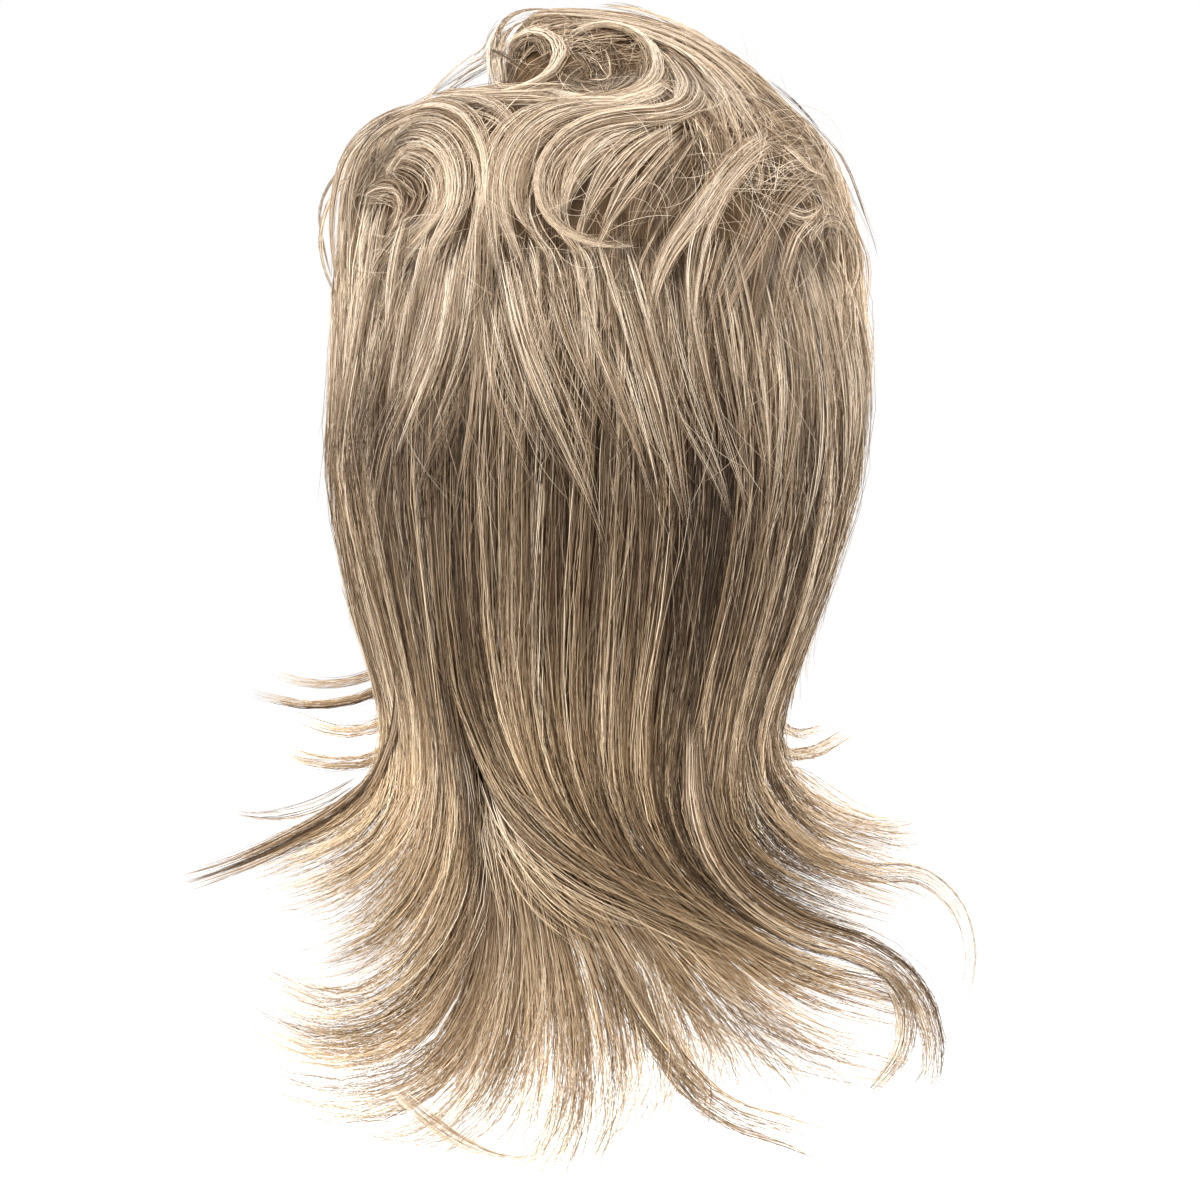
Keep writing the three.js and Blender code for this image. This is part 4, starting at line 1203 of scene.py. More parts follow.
# Pointed tips of the middle layer
tipForm = {"root": 0.9, "tip": 0.20, "loose": 0.30, "tipTone": 0.08, "spread": 0.24}
tipRows = [
    # as in makeLock
    (8, 3, 2.0, 46, 0.68, [(455, 250), (440, 325), (418, 380), (396, 418)]),
    (6, 3, 1.6, 40, 0.62, [(480, 260), (470, 340), (450, 400), (428, 452)]),
    (6, 3, 1.6, 40, 0.64, [(425, 270), (410, 350), (398, 410), (386, 464)]),
    (8, 3, 2.4, 52, 0.66, [(505, 250), (528, 340), (558, 420), (588, 495), (610, 560)]),
    (6, 3, 1.8, 40, 0.60, [(488, 270), (506, 350), (530, 420), (554, 474)]),
    (6, 3, 2.0, 40, 0.64, [(540, 255), (560, 330), (585, 390), (608, 444)]),
    (8, 3, 2.4, 52, 0.66, [(618, 255), (640, 330), (660, 410), (676, 485), (691, 548)]),
    (6, 3, 1.8, 40, 0.60, [(652, 270), (668, 350), (690, 420), (716, 480), (732, 532)]),
    (7, 3, 2.4, 50, 0.66, [(765, 260), (784, 340), (788, 410), (775, 500), (746, 580)]),
    (6, 3, 1.8, 40, 0.60, [(700, 270), (712, 350), (726, 420), (742, 490), (745, 542)]),
    (6, 3, 2.0, 40, 0.62, [(820, 260), (838, 340), (845, 420), (836, 500), (806, 582)]),
    (5, 3, 1.6, 34, 0.58, [(845, 280), (858, 360), (858, 430), (846, 500), (828, 554)]),
    (5, 3, 1.4, 34, 0.58, [(352, 280), (344, 360), (342, 430), (346, 490), (356, 542)]),
    (6, 3, 1.6, 40, 0.62, [(380, 270), (366, 350), (354, 410), (346, 456)]),
]
tipLocks = [makeLock(*row, **tipForm) for row in tipRows]
tipNodes = [
    "left_tip_lock", "centre_left_tip_lock", "centre_tip_lock", "right_tip_lock", "right_edge_tip_lock",
]
lockPiece("tip_locks", tipLocks, 21, tipFibre, tipNodes)
print("long hair ready")

# Locks of the quiff: the raised left end, the sweep to the right, two ring curls and loose strands
quiffLocks = [
    makeLock(2.5, 2.5, 0.2, 36, 0.64, [(504, 90), (501, 68), (503, 46), (513, 28), (532, 18)],
        loose=0.05),
    makeLock(4, 2.5, 1.0, 44, 0.73, [(499, 88), (497, 62), (498, 40), (508, 20), (528, 11), (556, 10)]),
    makeLock(4, 3, 1.0, 64, 0.75, [(512, 22), (545, 15), (590, 18), (640, 27), (684, 42), (722, 66),
        (750, 94), (766, 122)], loose=0.2),
    makeLock(5, 3, 1.2, 64, 0.79, [(560, 22), (610, 28), (656, 42), (698, 64), (728, 94), (746, 126),
        (754, 156)], loose=0.2),
    makeLock(6, 3, 1.0, 58, 0.77, [(640, 36), (680, 56), (708, 84), (727, 116), (738, 152)], loose=0.2),
    makeLock(6, 3, 0.8, 52, 0.71, [(668, 60), (694, 84), (712, 112), (722, 145), (722, 178)], loose=0.2),
    makeLock(4, 3, 2.2, 64, 0.85, [(566, 46), (580, 33), (608, 28), (634, 37), (650, 54), (653, 76),
        (642, 94), (620, 104), (590, 107), (562, 101), (540, 93)], twist=0.5),
    # The dark locks sunk under the ring curls are painted shade inside the rings
    makeLock(6, 2.5, -0.5, 80, 0.36, [(582, 44), (603, 47), (615, 62), (611, 82), (594, 94), (575, 86),
        (569, 68)]),
    makeLock(7, 2.5, -0.5, 60, 0.42, [(632, 58), (630, 80), (612, 97), (588, 100), (566, 92)]),
    makeLock(3.5, 2.5, 2.0, 54, 0.81, [(500, 60), (511, 44), (531, 35), (552, 41), (561, 58), (552, 76),
        (534, 89), (508, 98), (478, 102), (455, 102)], twist=0.5),
    makeLock(5, 1.5, -1.0, 44, 0.40, [(572, 56), (586, 60), (602, 70), (612, 86)]),
    makeLock(9, 1.5, -0.8, 70, 0.44, [(576, 48), (590, 60), (602, 78), (602, 98)], root=1.0, tip=0.9),
    makeLock(5, 1.5, -1.0, 44, 0.48, [(574, 70), (588, 74), (602, 84), (606, 98)]),
    makeLock(4.5, 2.5, -0.3, 56, 0.38, [(512, 58), (524, 46), (539, 45), (547, 57), (540, 70)]),
    makeLock(1.5, 1.5, 1.5, 14, 0.39, [(488, 50), (504, 58), (520, 70), (536, 81)]),
    makeLock(4, 2.5, 1.2, 44, 0.75, [(440, 94), (475, 101), (515, 103), (548, 99), (568, 88)]),
    makeLock(4, 2.5, 1.8, 54, 0.83, [(540, 97), (580, 111), (620, 114), (650, 103), (667, 84),
        (664, 64)]),
    makeLock(4, 2.5, 0.8, 40, 0.67, [(440, 110), (490, 108), (540, 108), (590, 118), (640, 120)]),
    makeLock(1.5, 1, 1.0, 9, 0.67, [(492, 46), (466, 60), (440, 84), (418, 112), (398, 138), (384, 162)],
        loose=0.3),
    makeLock(1.5, 1, 1.0, 7, 0.71, [(500, 58), (470, 72), (444, 96), (420, 122)], loose=0.3),
]
quiffNodes = [
    "quiff", "quiff_left_curl", "quiff_ring_curl", "quiff_sweep", "quiff_under_sweep", "s_lock",
    "right_shoulder_lock",
]
lockPiece("quiff_hair", quiffLocks, 31, crownFibre, quiffNodes, paler=0.08)

# Locks of the crown
crownLocks = [
    # the S lock and the centre swirl that it runs into
    makeLock(6, 3.5, 2.6, 90, 0.72, [(655, 50), (677, 68), (691, 93), (686, 114), (664, 125), (632, 128),
        (600, 133), (573, 145), (553, 165), (543, 190), (547, 216), (563, 237), (592, 250), (624, 254),
        (646, 247)], twist=0.5),
    makeLock(6, 3, 1.8, 60, 0.66, [(640, 122), (600, 124), (566, 132), (540, 150), (524, 178), (520, 208),
        (530, 234), (552, 252)]),
    makeLock(6, 3, 1.6, 60, 0.70, [(612, 114), (572, 118), (540, 130), (516, 156), (505, 190), (507, 224),
        (518, 256), (530, 290)]),
    makeLock(6, 3, 1.2, 50, 0.62, [(575, 112), (535, 122), (508, 146), (495, 180), (492, 215), (497, 255),
        (505, 300)]),
    makeLock(6, 3, 1.8, 55, 0.77, [(640, 138), (608, 150), (584, 172), (570, 200), (566, 228)]),
    makeLock(6, 3, 1.6, 55, 0.73, [(664, 138), (632, 158), (606, 186), (590, 215), (580, 242)]),
    makeLock(6, 3, 1.2, 50, 0.67, [(680, 140), (652, 166), (628, 196), (610, 226), (600, 250)]),
    makeLock(6, 2.5, 0.8, 45, 0.40, [(694, 138), (672, 168), (650, 202), (634, 234), (626, 258)]),
    makeLock(6, 2.5, 0.6, 45, 0.28, [(706, 140), (690, 172), (670, 206), (652, 238), (642, 270)]),
    makeLock(5, 2.5, 0.6, 40, 0.34, [(715, 160), (704, 190), (690, 220), (672, 250), (660, 280)]),
    # two fillers beside the centre swirl, then the locks to the right of it
    makeLock(7, 3, 0.3, 50, 0.50, [(684, 112), (702, 130), (714, 152), (720, 180), (716, 206)]),
    makeLock(7, 3, 0.3, 50, 0.62, [(604, 138), (582, 158), (567, 184), (561, 210), (566, 236)]),
    makeLock(6, 3, 2.2, 60, 0.70, [(772, 142), (742, 164), (716, 194), (692, 226), (670, 256), (656, 288),
        (650, 320), (654, 350)]),
    makeLock(5, 3, 1.8, 45, 0.66, [(735, 178), (716, 206), (700, 240), (692, 280), (690, 322),
        (694, 360)]),
    makeLock(3, 2, 1.8, 28, 0.62, [(716, 190), (722, 174), (738, 166), (754, 174), (756, 192),
        (746, 206)]),
    # dark lock sunk inside the curl above: painted shade
    makeLock(3, 2, 0.4, 20, 0.20, [(732, 178), (742, 174), (750, 184), (744, 196)]),
    makeLock(6, 3, 2.2, 60, 0.62, [(818, 178), (792, 190), (771, 214), (755, 246), (736, 284), (720, 320),
        (712, 352)]),
    makeLock(5, 3, 1.6, 45, 0.54, [(772, 220), (762, 256), (752, 296), (748, 336), (752, 372)]),
    makeLock(5, 3, 1.4, 45, 0.50, [(800, 225), (786, 256), (776, 296), (772, 340), (776, 380)]),
    makeLock(3, 2, 1.6, 28, 0.58, [(776, 204), (782, 218), (798, 224), (814, 216), (822, 202)]),
    # dark lock sunk inside the curl above: painted shade
    makeLock(3, 2, 0.4, 20, 0.20, [(782, 206), (792, 198), (804, 204), (800, 214)]),
    makeLock(3, 2.5, 2.0, 36, 0.62, [(802, 262), (808, 238), (822, 224), (840, 230), (850, 250),
        (846, 272)]),
    # dark lock sunk inside the curl above: painted shade
    makeLock(2.5, 2, 0.6, 20, 0.25, [(815, 245), (824, 234), (834, 238), (838, 252)]),
    makeLock(4, 2.5, 1.2, 36, 0.58, [(838, 225), (850, 248), (853, 276), (846, 306), (850, 340)]),
    makeLock(4, 2.5, 1.0, 30, 0.60, [(822, 262), (834, 290), (832, 322), (840, 356)]),
    makeLock(3.5, 3, 1.0, 44, 0.58, [(752, 82), (776, 104), (802, 128), (824, 152), (836, 184)]),
    makeLock(6, 3, 0.8, 50, 0.50, [(748, 100), (778, 122), (806, 148), (828, 180), (842, 215)]),
    makeLock(6, 3, 0.6, 45, 0.46, [(735, 120), (762, 142), (790, 166), (815, 195), (835, 230)]),
    # left swirl
    makeLock(6, 3.5, 2.2, 80, 0.74, [(378, 186), (378, 160), (390, 136), (414, 120), (442, 117),
        (466, 129), (482, 154), (488, 186), (484, 218), (474, 252), (465, 290), (460, 330)], twist=0.3),
    makeLock(6, 3, 2.4, 70, 0.80, [(386, 168), (398, 148), (420, 138), (444, 146), (460, 168), (464, 198),
        (456, 226), (440, 250), (428, 290), (420, 330)], twist=0.4),
    makeLock(5, 3, 2.0, 60, 0.70, [(394, 192), (398, 172), (414, 157), (434, 160), (448, 178), (450, 204),
        (438, 226), (420, 244), (402, 262)]),
    makeLock(5, 2.5, 1.2, 50, 0.64, [(384, 172), (400, 164), (420, 166), (436, 180), (440, 202),
        (430, 224), (412, 240), (394, 254)]),
    makeLock(4, 2, 0.8, 40, 0.60, [(378, 184), (396, 180), (414, 187), (423, 201), (416, 218), (400, 232),
        (384, 246)]),
    makeLock(4, 2, 0.5, 30, 0.56, [(374, 196), (392, 196), (405, 204), (400, 218), (386, 232)]),
    makeLock(6, 3, 1.2, 50, 0.60, [(500, 110), (450, 108), (410, 114), (378, 130), (358, 156),
        (350, 190)]),
    makeLock(6, 3, 1.0, 50, 0.60, [(400, 122), (374, 148), (362, 184), (356, 230), (352, 280),
        (352, 330)]),
    makeLock(5, 3, 0.8, 45, 0.56, [(372, 132), (354, 164), (347, 205), (344, 255), (344, 310)]),
    makeLock(6, 3, 0.8, 54, 0.62, [(430, 106), (466, 110), (498, 120), (516, 142), (522, 172)]),
    makeLock(6, 2.5, 0.9, 54, 0.60, [(366, 204), (384, 194), (402, 198), (406, 216), (396, 236),
        (384, 260)]),
    # hair that falls from the swirls
    makeLock(5, 3, 1.4, 45, 0.68, [(388, 205), (382, 240), (374, 285), (366, 330)]),
    makeLock(5, 3, 1.4, 45, 0.70, [(412, 220), (404, 260), (396, 305), (388, 350)]),
    makeLock(5, 3, 1.6, 45, 0.72, [(436, 235), (428, 275), (418, 320), (408, 370)]),
    makeLock(5, 3, 1.2, 40, 0.66, [(476, 240), (470, 285), (462, 335), (452, 390)]),
    makeLock(5, 3, 1.0, 40, 0.50, [(490, 180), (486, 225), (484, 275), (480, 330), (476, 385)]),
    makeLock(5, 2.5, 0.8, 40, 0.60, [(540, 250), (545, 290), (543, 335), (540, 385)]),
    makeLock(5, 2.5, 0.8, 40, 0.62, [(575, 258), (582, 300), (586, 345), (590, 395)]),
    makeLock(5, 2.5, 0.8, 40, 0.56, [(610, 258), (614, 300), (620, 345), (626, 395)]),
    makeLock(5, 2.5, 0.8, 40, 0.50, [(640, 260), (640, 300), (645, 345), (652, 395)]),
    # along the left edge, from the outline of the crown down
    makeLock(4, 3, 0.6, 54, 0.60, [(424, 112, 64), (394, 122, 52), (368, 138, 42), (350, 160, 34),
        (340, 190, 28), (335, 224, 24), (336, 262, 24), (343, 304, 26)]),
    makeLock(5, 3, 0.6, 50, 0.64, [(430, 116, 72), (402, 127, 60), (376, 145, 48), (358, 168, 40),
        (347, 198, 34), (343, 238, 31), (346, 290, 32)]),
    makeLock(7, 3, 0.2, 50, 0.58, [(412, 122, 74), (386, 137, 62), (368, 158, 50), (357, 188, 43),
        (352, 226, 39), (352, 272, 38)]),
    makeLock(3, 2, 1.0, 30, 0.58, [(352, 172), (333, 203, 22), (323, 240, 20), (328, 275, 20),
        (342, 306, 24)]),
    makeLock(2, 1.5, 1.0, 12, 0.60, [(348, 165, 25), (330, 190, 20), (322, 215, 18), (326, 250, 18),
        (334, 285, 20)]),
]
crownNodes = [
    "left_swirl", "left_swirl_inner", "left_edge_lock", "centre_swirl", "centre_swirl_inner",
    "right_lock_inner", "right_lock_outer", "right_edge_curl", "right_edge_lock",
]
lockPiece("crown_locks", crownLocks, 41, crownFibre, crownNodes, paler=0.06)

# Hair between the locks of the crown, and the middle layer: small clumps, each combed along the locks nearby
coverPlay = {
    "points": 9, "radius": (0.06, 0.15), "onQuiff": 2.0,  # twice as many clumps on the quiff
    "begin": (0, 0.3), "finish": (0.62, 1.0), "narrowed": 0.75, "wander": 1.5, "rounded": 1.6, "bow": 1.2,
    "spread": 0.18, "middleTone": 0.10, "sidePaintedShade": 0.14, "layerRows": (250, 330),
}
crownCover = {
    **coverPlay, "clumps": 180, "strands": 11, "length": (70, 190), "lift": (-3.0, 1.2),
    "width": (2.0, 8.0), "toneSpread": 0.15, "blur": 12, "seed": 45,
}
middleLayer = {
    **coverPlay, "clumps": 84, "strands": 12, "length": (90, 230), "lift": (-0.5, 2.6),
    "width": (2.5, 8.0), "toneSpread": 0.16, "blur": 16, "seed": 46,
}
# Tone of the middle layer going down: partly its own colour and partly painted shade lower down
layerToneAndShade = [
    # row, tone
    (230, 0.68),
    (310, 0.64),
    (380, 0.52),
    (450, 0.42),
    (600, 0.40),
]
middleEdge = [
    # row, left column, right column
    (230, 352, 848),
    (300, 346, 854),
    (380, 342, 858),
]
crownEdge = [
    # row, left column, right column
    (8, 524, 600),
    (20, 506, 680),
    (40, 498, 738),
    (70, 497, 768),
    (95, 490, 780),
    (112, 420, 802),
    (130, 380, 824),
    (160, 352, 838),
    (200, 344, 842),
    (260, 340, 850),
    (340, 340, 856),
]


# Walks from each start along the way of the locks nearby; gives the places and the tones met
def combAlong(locks, start, count, step, blur):
    places, turns, tones = [], [], []
    for lock in locks:
        flat = np.asarray([p[:2] for p in lock["path"]], float)
        fine = curveAt(flat, np.linspace(0, len(flat) - 1, 5 * len(flat)))
        way = unit(np.gradient(fine, axis=0))
        places.append(fine)
        turns.append(2 * np.arctan2(way[:, 1], way[:, 0]))  # twice, so that both ways along count as one
        tones.append(np.full(len(fine), lock["tone"]))
    places, turns, tones = np.concatenate(places), np.concatenate(turns), np.concatenate(tones)
    both = np.stack([np.cos(turns), np.sin(turns), tones], -1)
    place, heading, trail, shades = start, np.array([[0.0, 1.0]]), [], []
    for _ in range(count):
        apart = (place[:, :1] - places[:, 0]) ** 2 + (place[:, 1:] - places[:, 1]) ** 2
        weight = 1 / (apart + blur**2) ** 2
        found = weight @ both / weight.sum(axis=1, keepdims=True)
        turn = np.arctan2(found[:, 1], found[:, 0]) / 2
        way = np.stack([np.cos(turn), np.sin(turn)], -1)
        way = way * np.where(np.sum(way * heading, axis=1, keepdims=True) < 0, -1, 1)
        trail.append(place)
        shades.append(found[:, 2])
        place, heading = place + way * step, way
    return np.stack(trail, axis=1), np.stack(shades, axis=1)


def coverStrands(name, hair, locks, edge, material, nodes):
    rng = np.random.default_rng(hair["seed"])
    count = hair["points"]
    row = rng.uniform(edge[0][0], edge[-1][0], hair["clumps"] * 3)
    left, right = readTable(edge, row)
    widest = edge[-1][2] - edge[-1][1]
    dense = np.where(row < chart["crown"], hair["onQuiff"], 1.0)
    kept = np.flatnonzero(rng.random(len(row)) < dense * (right - left) / widest)[:hair["clumps"]]
    row, left, right = row[kept], left[kept], right[kept]
    start = np.stack([left + (right - left) * rng.random(len(kept)), row], -1)
    clumps, total = (len(kept), 1), (len(kept) * hair["strands"], 1)
    step = rng.uniform(*hair["length"], clumps) / (count - 1)
    trail, shade = combAlong(locks, start, count, step, hair["blur"])
    heading = unit(np.gradient(trail, axis=1))
    beside = np.stack([-heading[..., 1], heading[..., 0]], -1)

    def each(values):
        return np.repeat(values, hair["strands"], axis=0)

    side = rng.uniform(-1, 1, total)
    begin = rng.uniform(*hair["begin"], total)
    finish = rng.uniform(*hair["finish"], total)
    way = begin + (finish - begin) * np.linspace(0, 1, count)[None]
    spot = way * (count - 1)
    low = np.clip(np.floor(spot), 0, count - 2).astype(int)
    part = (spot - low)[..., None]

    def read(values):
        values = each(values)
        before = np.take_along_axis(values, low[..., None], axis=1)
        return before * (1 - part) + np.take_along_axis(values, low[..., None] + 1, axis=1) * part

    full = each(rng.uniform(*hair["width"], clumps)) * (1 - hair["narrowed"] * smoothStep(0.35, 1.0, way))
    wander = rng.normal(0, hair["wander"], total) * np.sin(way * 4 + rng.uniform(*phases, total))
    place = read(trail) + read(beside) * (side * full + wander)[..., None]
    lift = each(rng.uniform(*hair["lift"], clumps)) + hair["rounded"] * (1 - side**2)
    lift = lift + hair["bow"] * np.sin(way * math.pi)
    lower = smoothStep(*hair["layerRows"], place[..., 1])
    tone = read(shade[..., None])[..., 0] * (1 - lower) + readTable(layerToneAndShade, place[..., 1])[0] * lower
    tone = tone + each(rng.normal(0, hair["toneSpread"], clumps)) + rng.normal(0, hair["spread"], total)
    # painted shade at the sides of each clump, and the painted light and shade of the spots
    tone = tone + hair["middleTone"] - hair["sidePaintedShade"] * np.abs(side) + paintedLightAndShadeAt(place)
    radius = rng.uniform(*hair["radius"], total) * thinEnds(way)
    batch = {"points": liftedAt(place, lift), "radius": radius, "tone": clipTone(tone)}
    strandPiece(name, [batch], material, nodes, hair["seed"])


upperLocks = quiffLocks + crownLocks
coverStrands("crown_cover", crownCover, upperLocks, crownEdge, crownFibre, ["crown_hair"])
coverStrands("middle_layer", middleLayer, tipLocks, middleEdge, tipFibre, tipNodes)

# Loose hairs: frizz over the crown, where they cross each other, and wisps along the edges
looseHairs = {
    "points": 8, "radius": (0.05, 0.085), "toneSpread": 0.12, "seed": 47,
    "pastEdge": 7, "lowest": 1165,  # how far they go past the outline, and their lowest row
    "patches": [
        # box on the chart, strands, length, middle and most turn off straight down, curl, lift, tone
        ((690, 125, 845, 215), 260, (30, 100), (80, 75), 0.9, (1.5, 6.0), 0.84),
        ((350, 115, 690, 270), 200, (30, 90), (0, 180), 1.2, (2.5, 6.0), 0.84),
        ((345, 260, 850, 420), 170, (40, 150), (0, 24), 0.5, (2.0, 5.0), 0.76),
        ((350, 400, 845, 640), 120, (50, 190), (0, 9), 0.25, (1.5, 4.0), 0.62),
        ((500, 14, 760, 110), 110, (20, 70), (0, 180), 1.6, (1.5, 4.5), 0.86),
        ((400, 1000, 700, 1120), 150, (40, 150), (-30, 80), 0.9, (-4.0, 4.0), 0.72),
        ((334, 150, 350, 520), 60, (40, 120), (0, 8), 0.3, (0.5, 2.5), 0.60),
        ((844, 170, 858, 500), 60, (40, 120), (0, 8), 0.3, (0.5, 2.5), 0.58),
    ],
}
looseEdge = [
    # row, left column, right column
    *crownEdge,
    (430, 336, 860),
    (500, 340, 852),
    (560, 352, 836),
    (640, 372, 806),
    (700, 386, 786),
    (980, 330, 800),
    (1120, 300, 700),
]


def addLooseHairs():
    hairs = looseHairs
    rng = np.random.default_rng(hairs["seed"])
    way = np.linspace(0, 1, hairs["points"])[None]
    past = hairs["pastEdge"]
    batches = []
    for box, strands, length, (turn, most), curl, lift, tone in hairs["patches"]:
        start = rng.uniform(box[:2], box[2:], (strands, 2))[:, None]
        angle = np.radians(turn + rng.uniform(-1, 1, (strands, 1)) * most)
        angle = angle + rng.normal(0, curl, (strands, 1)) * way
        step = rng.uniform(*length, (strands, 1)) / (hairs["points"] - 1)
        moves = np.stack([np.sin(angle), np.cos(angle)], -1) * step[..., None]
        place = start + np.cumsum(moves, axis=1)
        column, row = place[..., 0], place[..., 1]
        left, right = readTable(looseEdge, row)
        inside = (column > left - past) & (column < right + past) & (row < hairs["lowest"])
        place = place[np.all(inside, axis=1)]
        size = (len(place), 1)
        rise = rng.uniform(*lift, size) * np.sin(0.4 + 2.2 * way)
        shade = tone + rng.normal(0, hairs["toneSpread"], size) + 0 * way
        radius = rng.uniform(*hairs["radius"], size) * thinEnds(way)
        batches.append({"points": liftedAt(place, rise), "radius": radius, "tone": clipTone(shade)})
    strandPiece("loose_hairs", batches, crownFibre, ["crown_hair"], hairs["seed"])


addLooseHairs()

# Locks of the flared ends
wispy = {"loose": 0.28, "tip": 0.45, "fan": 0.5, "spread": 0.2, "tipTone": 0.2}
flareLocks = [
    # left
    makeLock(4, 3.5, 1, 90, 0.44, [(400, 650), (402, 705), (394, 748, 34), (372, 786, 40), (338, 814, 40),
        (298, 836, 38), (250, 859, 36), (205, 875, 36), (172, 884, 36)], loose=0.10, tip=0.6, fan=0.3,
        spread=0.2, radius=(0.09, 0.18)),
    makeLock(3, 2, 1, 20, 0.66, [(366, 776, 38), (328, 800, 36), (290, 812, 34), (252, 814, 32),
        (222, 806, 32)]),
    makeLock(12, 3, 1.2, 50, 0.68, [(430, 700), (440, 760), (426, 822), (392, 864, 56), (344, 896, 48),
        (300, 914, 44)], **wispy),
    makeLock(13, 3, 1.2, 50, 0.66, [(450, 720), (458, 790), (450, 850), (420, 906, 74), (368, 944, 62),
        (314, 960, 54), (262, 948, 52)], **wispy),
    makeLock(12, 2.5, 1, 45, 0.64, [(470, 800), (474, 870), (450, 936), (400, 990, 88), (340, 1016, 76),
        (290, 1012, 70), (252, 985, 66)], **wispy),
    makeLock(12, 2.5, 1, 45, 0.62, [(488, 850), (490, 920), (472, 986), (432, 1048), (374, 1080, 94),
        (304, 1090, 82), (232, 1082, 76)], **wispy),
    makeLock(12, 2.5, 1, 45, 0.62, [(516, 880), (524, 950), (514, 1020), (488, 1080), (446, 1128, 122),
        (390, 1150, 112), (332, 1140, 104)], **wispy),
    makeLock(4, 2, 1, 44, 0.80, [(392, 1070, 100), (420, 1098, 108), (462, 1128, 116), (508, 1144, 122),
        (550, 1140, 124)], loose=0.3),
    # bottom
    makeLock(13, 2.5, 1, 45, 0.58, [(560, 900), (584, 970), (596, 1040), (590, 1104), (570, 1150, 138),
        (586, 1186, 140)], **wispy),
    makeLock(11, 2.5, 1, 40, 0.62, [(600, 900), (642, 980), (656, 1046), (642, 1100, 136),
        (612, 1140, 140)], **wispy),
    # pale sweep to the right and the hair below it
    makeLock(12, 3, 0.8, 60, 0.76, [(478, 745), (498, 790), (530, 832), (580, 872), (640, 902),
        (705, 930), (765, 945)], loose=0.3, root=0.35, tip=0.8, fan=0.5, spread=0.22),
    makeLock(9, 2.5, 0.4, 40, 0.82, [(490, 775), (500, 815), (518, 855), (548, 895), (596, 930),
        (650, 952)], loose=0.25, root=0.25, tip=0.8, fan=0.4, spread=0.2),
    makeLock(8, 2.5, 0.2, 30, 0.78, [(492, 790), (502, 840), (514, 895), (524, 955)], loose=0.25,
        root=0.3, tip=0.8),
    makeLock(10, 3, 1.2, 50, 0.58, [(606, 730), (612, 800), (642, 866), (700, 920), (764, 966),
        (812, 1014, 82)], **wispy),
    # right
    makeLock(6.5, 3, 1.4, 110, 0.52, [(690, 710), (696, 800), (726, 872), (790, 922, 74), (856, 944, 60),
        (904, 976, 54), (928, 1024, 54), (928, 1070, 56), (902, 1106, 60)], loose=0.10, tip=0.6,
        radius=(0.10, 0.19)),
    makeLock(4, 2, 1, 44, 0.58, [(872, 960, 59), (900, 1000, 60), (896, 1050, 62), (858, 1094, 64)],
        loose=0.16, tip=0.6, radius=(0.09, 0.17)),
    makeLock(4, 2, 1, 50, 0.66, [(744, 730), (762, 792), (804, 846, 58), (862, 868, 48), (916, 872, 42),
        (954, 904, 40), (968, 954, 40), (958, 1002, 42), (940, 1040, 46)], loose=0.35, tip=0.5),
    makeLock(9, 3, 1, 50, 0.52, [(766, 720), (780, 770, 40), (826, 806, 40), (880, 828, 36),
        (934, 834, 34)], **wispy),
    makeLock(9, 3, 1, 45, 0.56, [(740, 740), (752, 800), (800, 850, 58), (860, 880, 50), (920, 900, 44)],
        **wispy),
    makeLock(10, 3, 0.4, 40, 0.50, [(706, 840), (744, 884), (796, 912, 70), (850, 926, 60),
        (900, 940, 54)], **wispy),
    makeLock(12, 2.5, 0.4, 44, 0.58, [(600, 900), (640, 960), (690, 1010), (740, 1044, 100),
        (790, 1066, 96)], **wispy),
    makeLock(11, 2.5, 1, 50, 0.60, [(660, 950), (740, 1010), (824, 1046, 88), (900, 1064, 76),
        (954, 1100, 74)], **wispy),
    makeLock(6, 2.5, 1, 70, 0.66, [(640, 940), (662, 1020), (690, 1074), (736, 1106, 108),
        (796, 1124, 104), (846, 1150, 104)], loose=0.14, tip=0.7, fan=0.4, radius=(0.09, 0.18)),
    makeLock(5, 2.5, 1, 50, 0.60, [(600, 940), (640, 1010), (676, 1056), (704, 1084, 122),
        (700, 1106, 124), (672, 1116, 126)], loose=0.16, tip=0.6, radius=(0.09, 0.17)),
]
flareNodes = [
    "left_flick", "left_flick_branch", "left_sweep_upper", "left_sweep_middle", "left_sweep_lower",
    "left_sweep_lowest", "bottom_left_lock", "bottom_centre_lock", "bottom_curl", "cross_sweep",
    "right_sweep", "right_loop", "right_loop_branch", "right_outer_loop", "right_flick",
    "low_right_sweep", "bottom_right_sweep",
]
lockPiece("flared_ends", flareLocks, 51, endFibre, flareNodes)

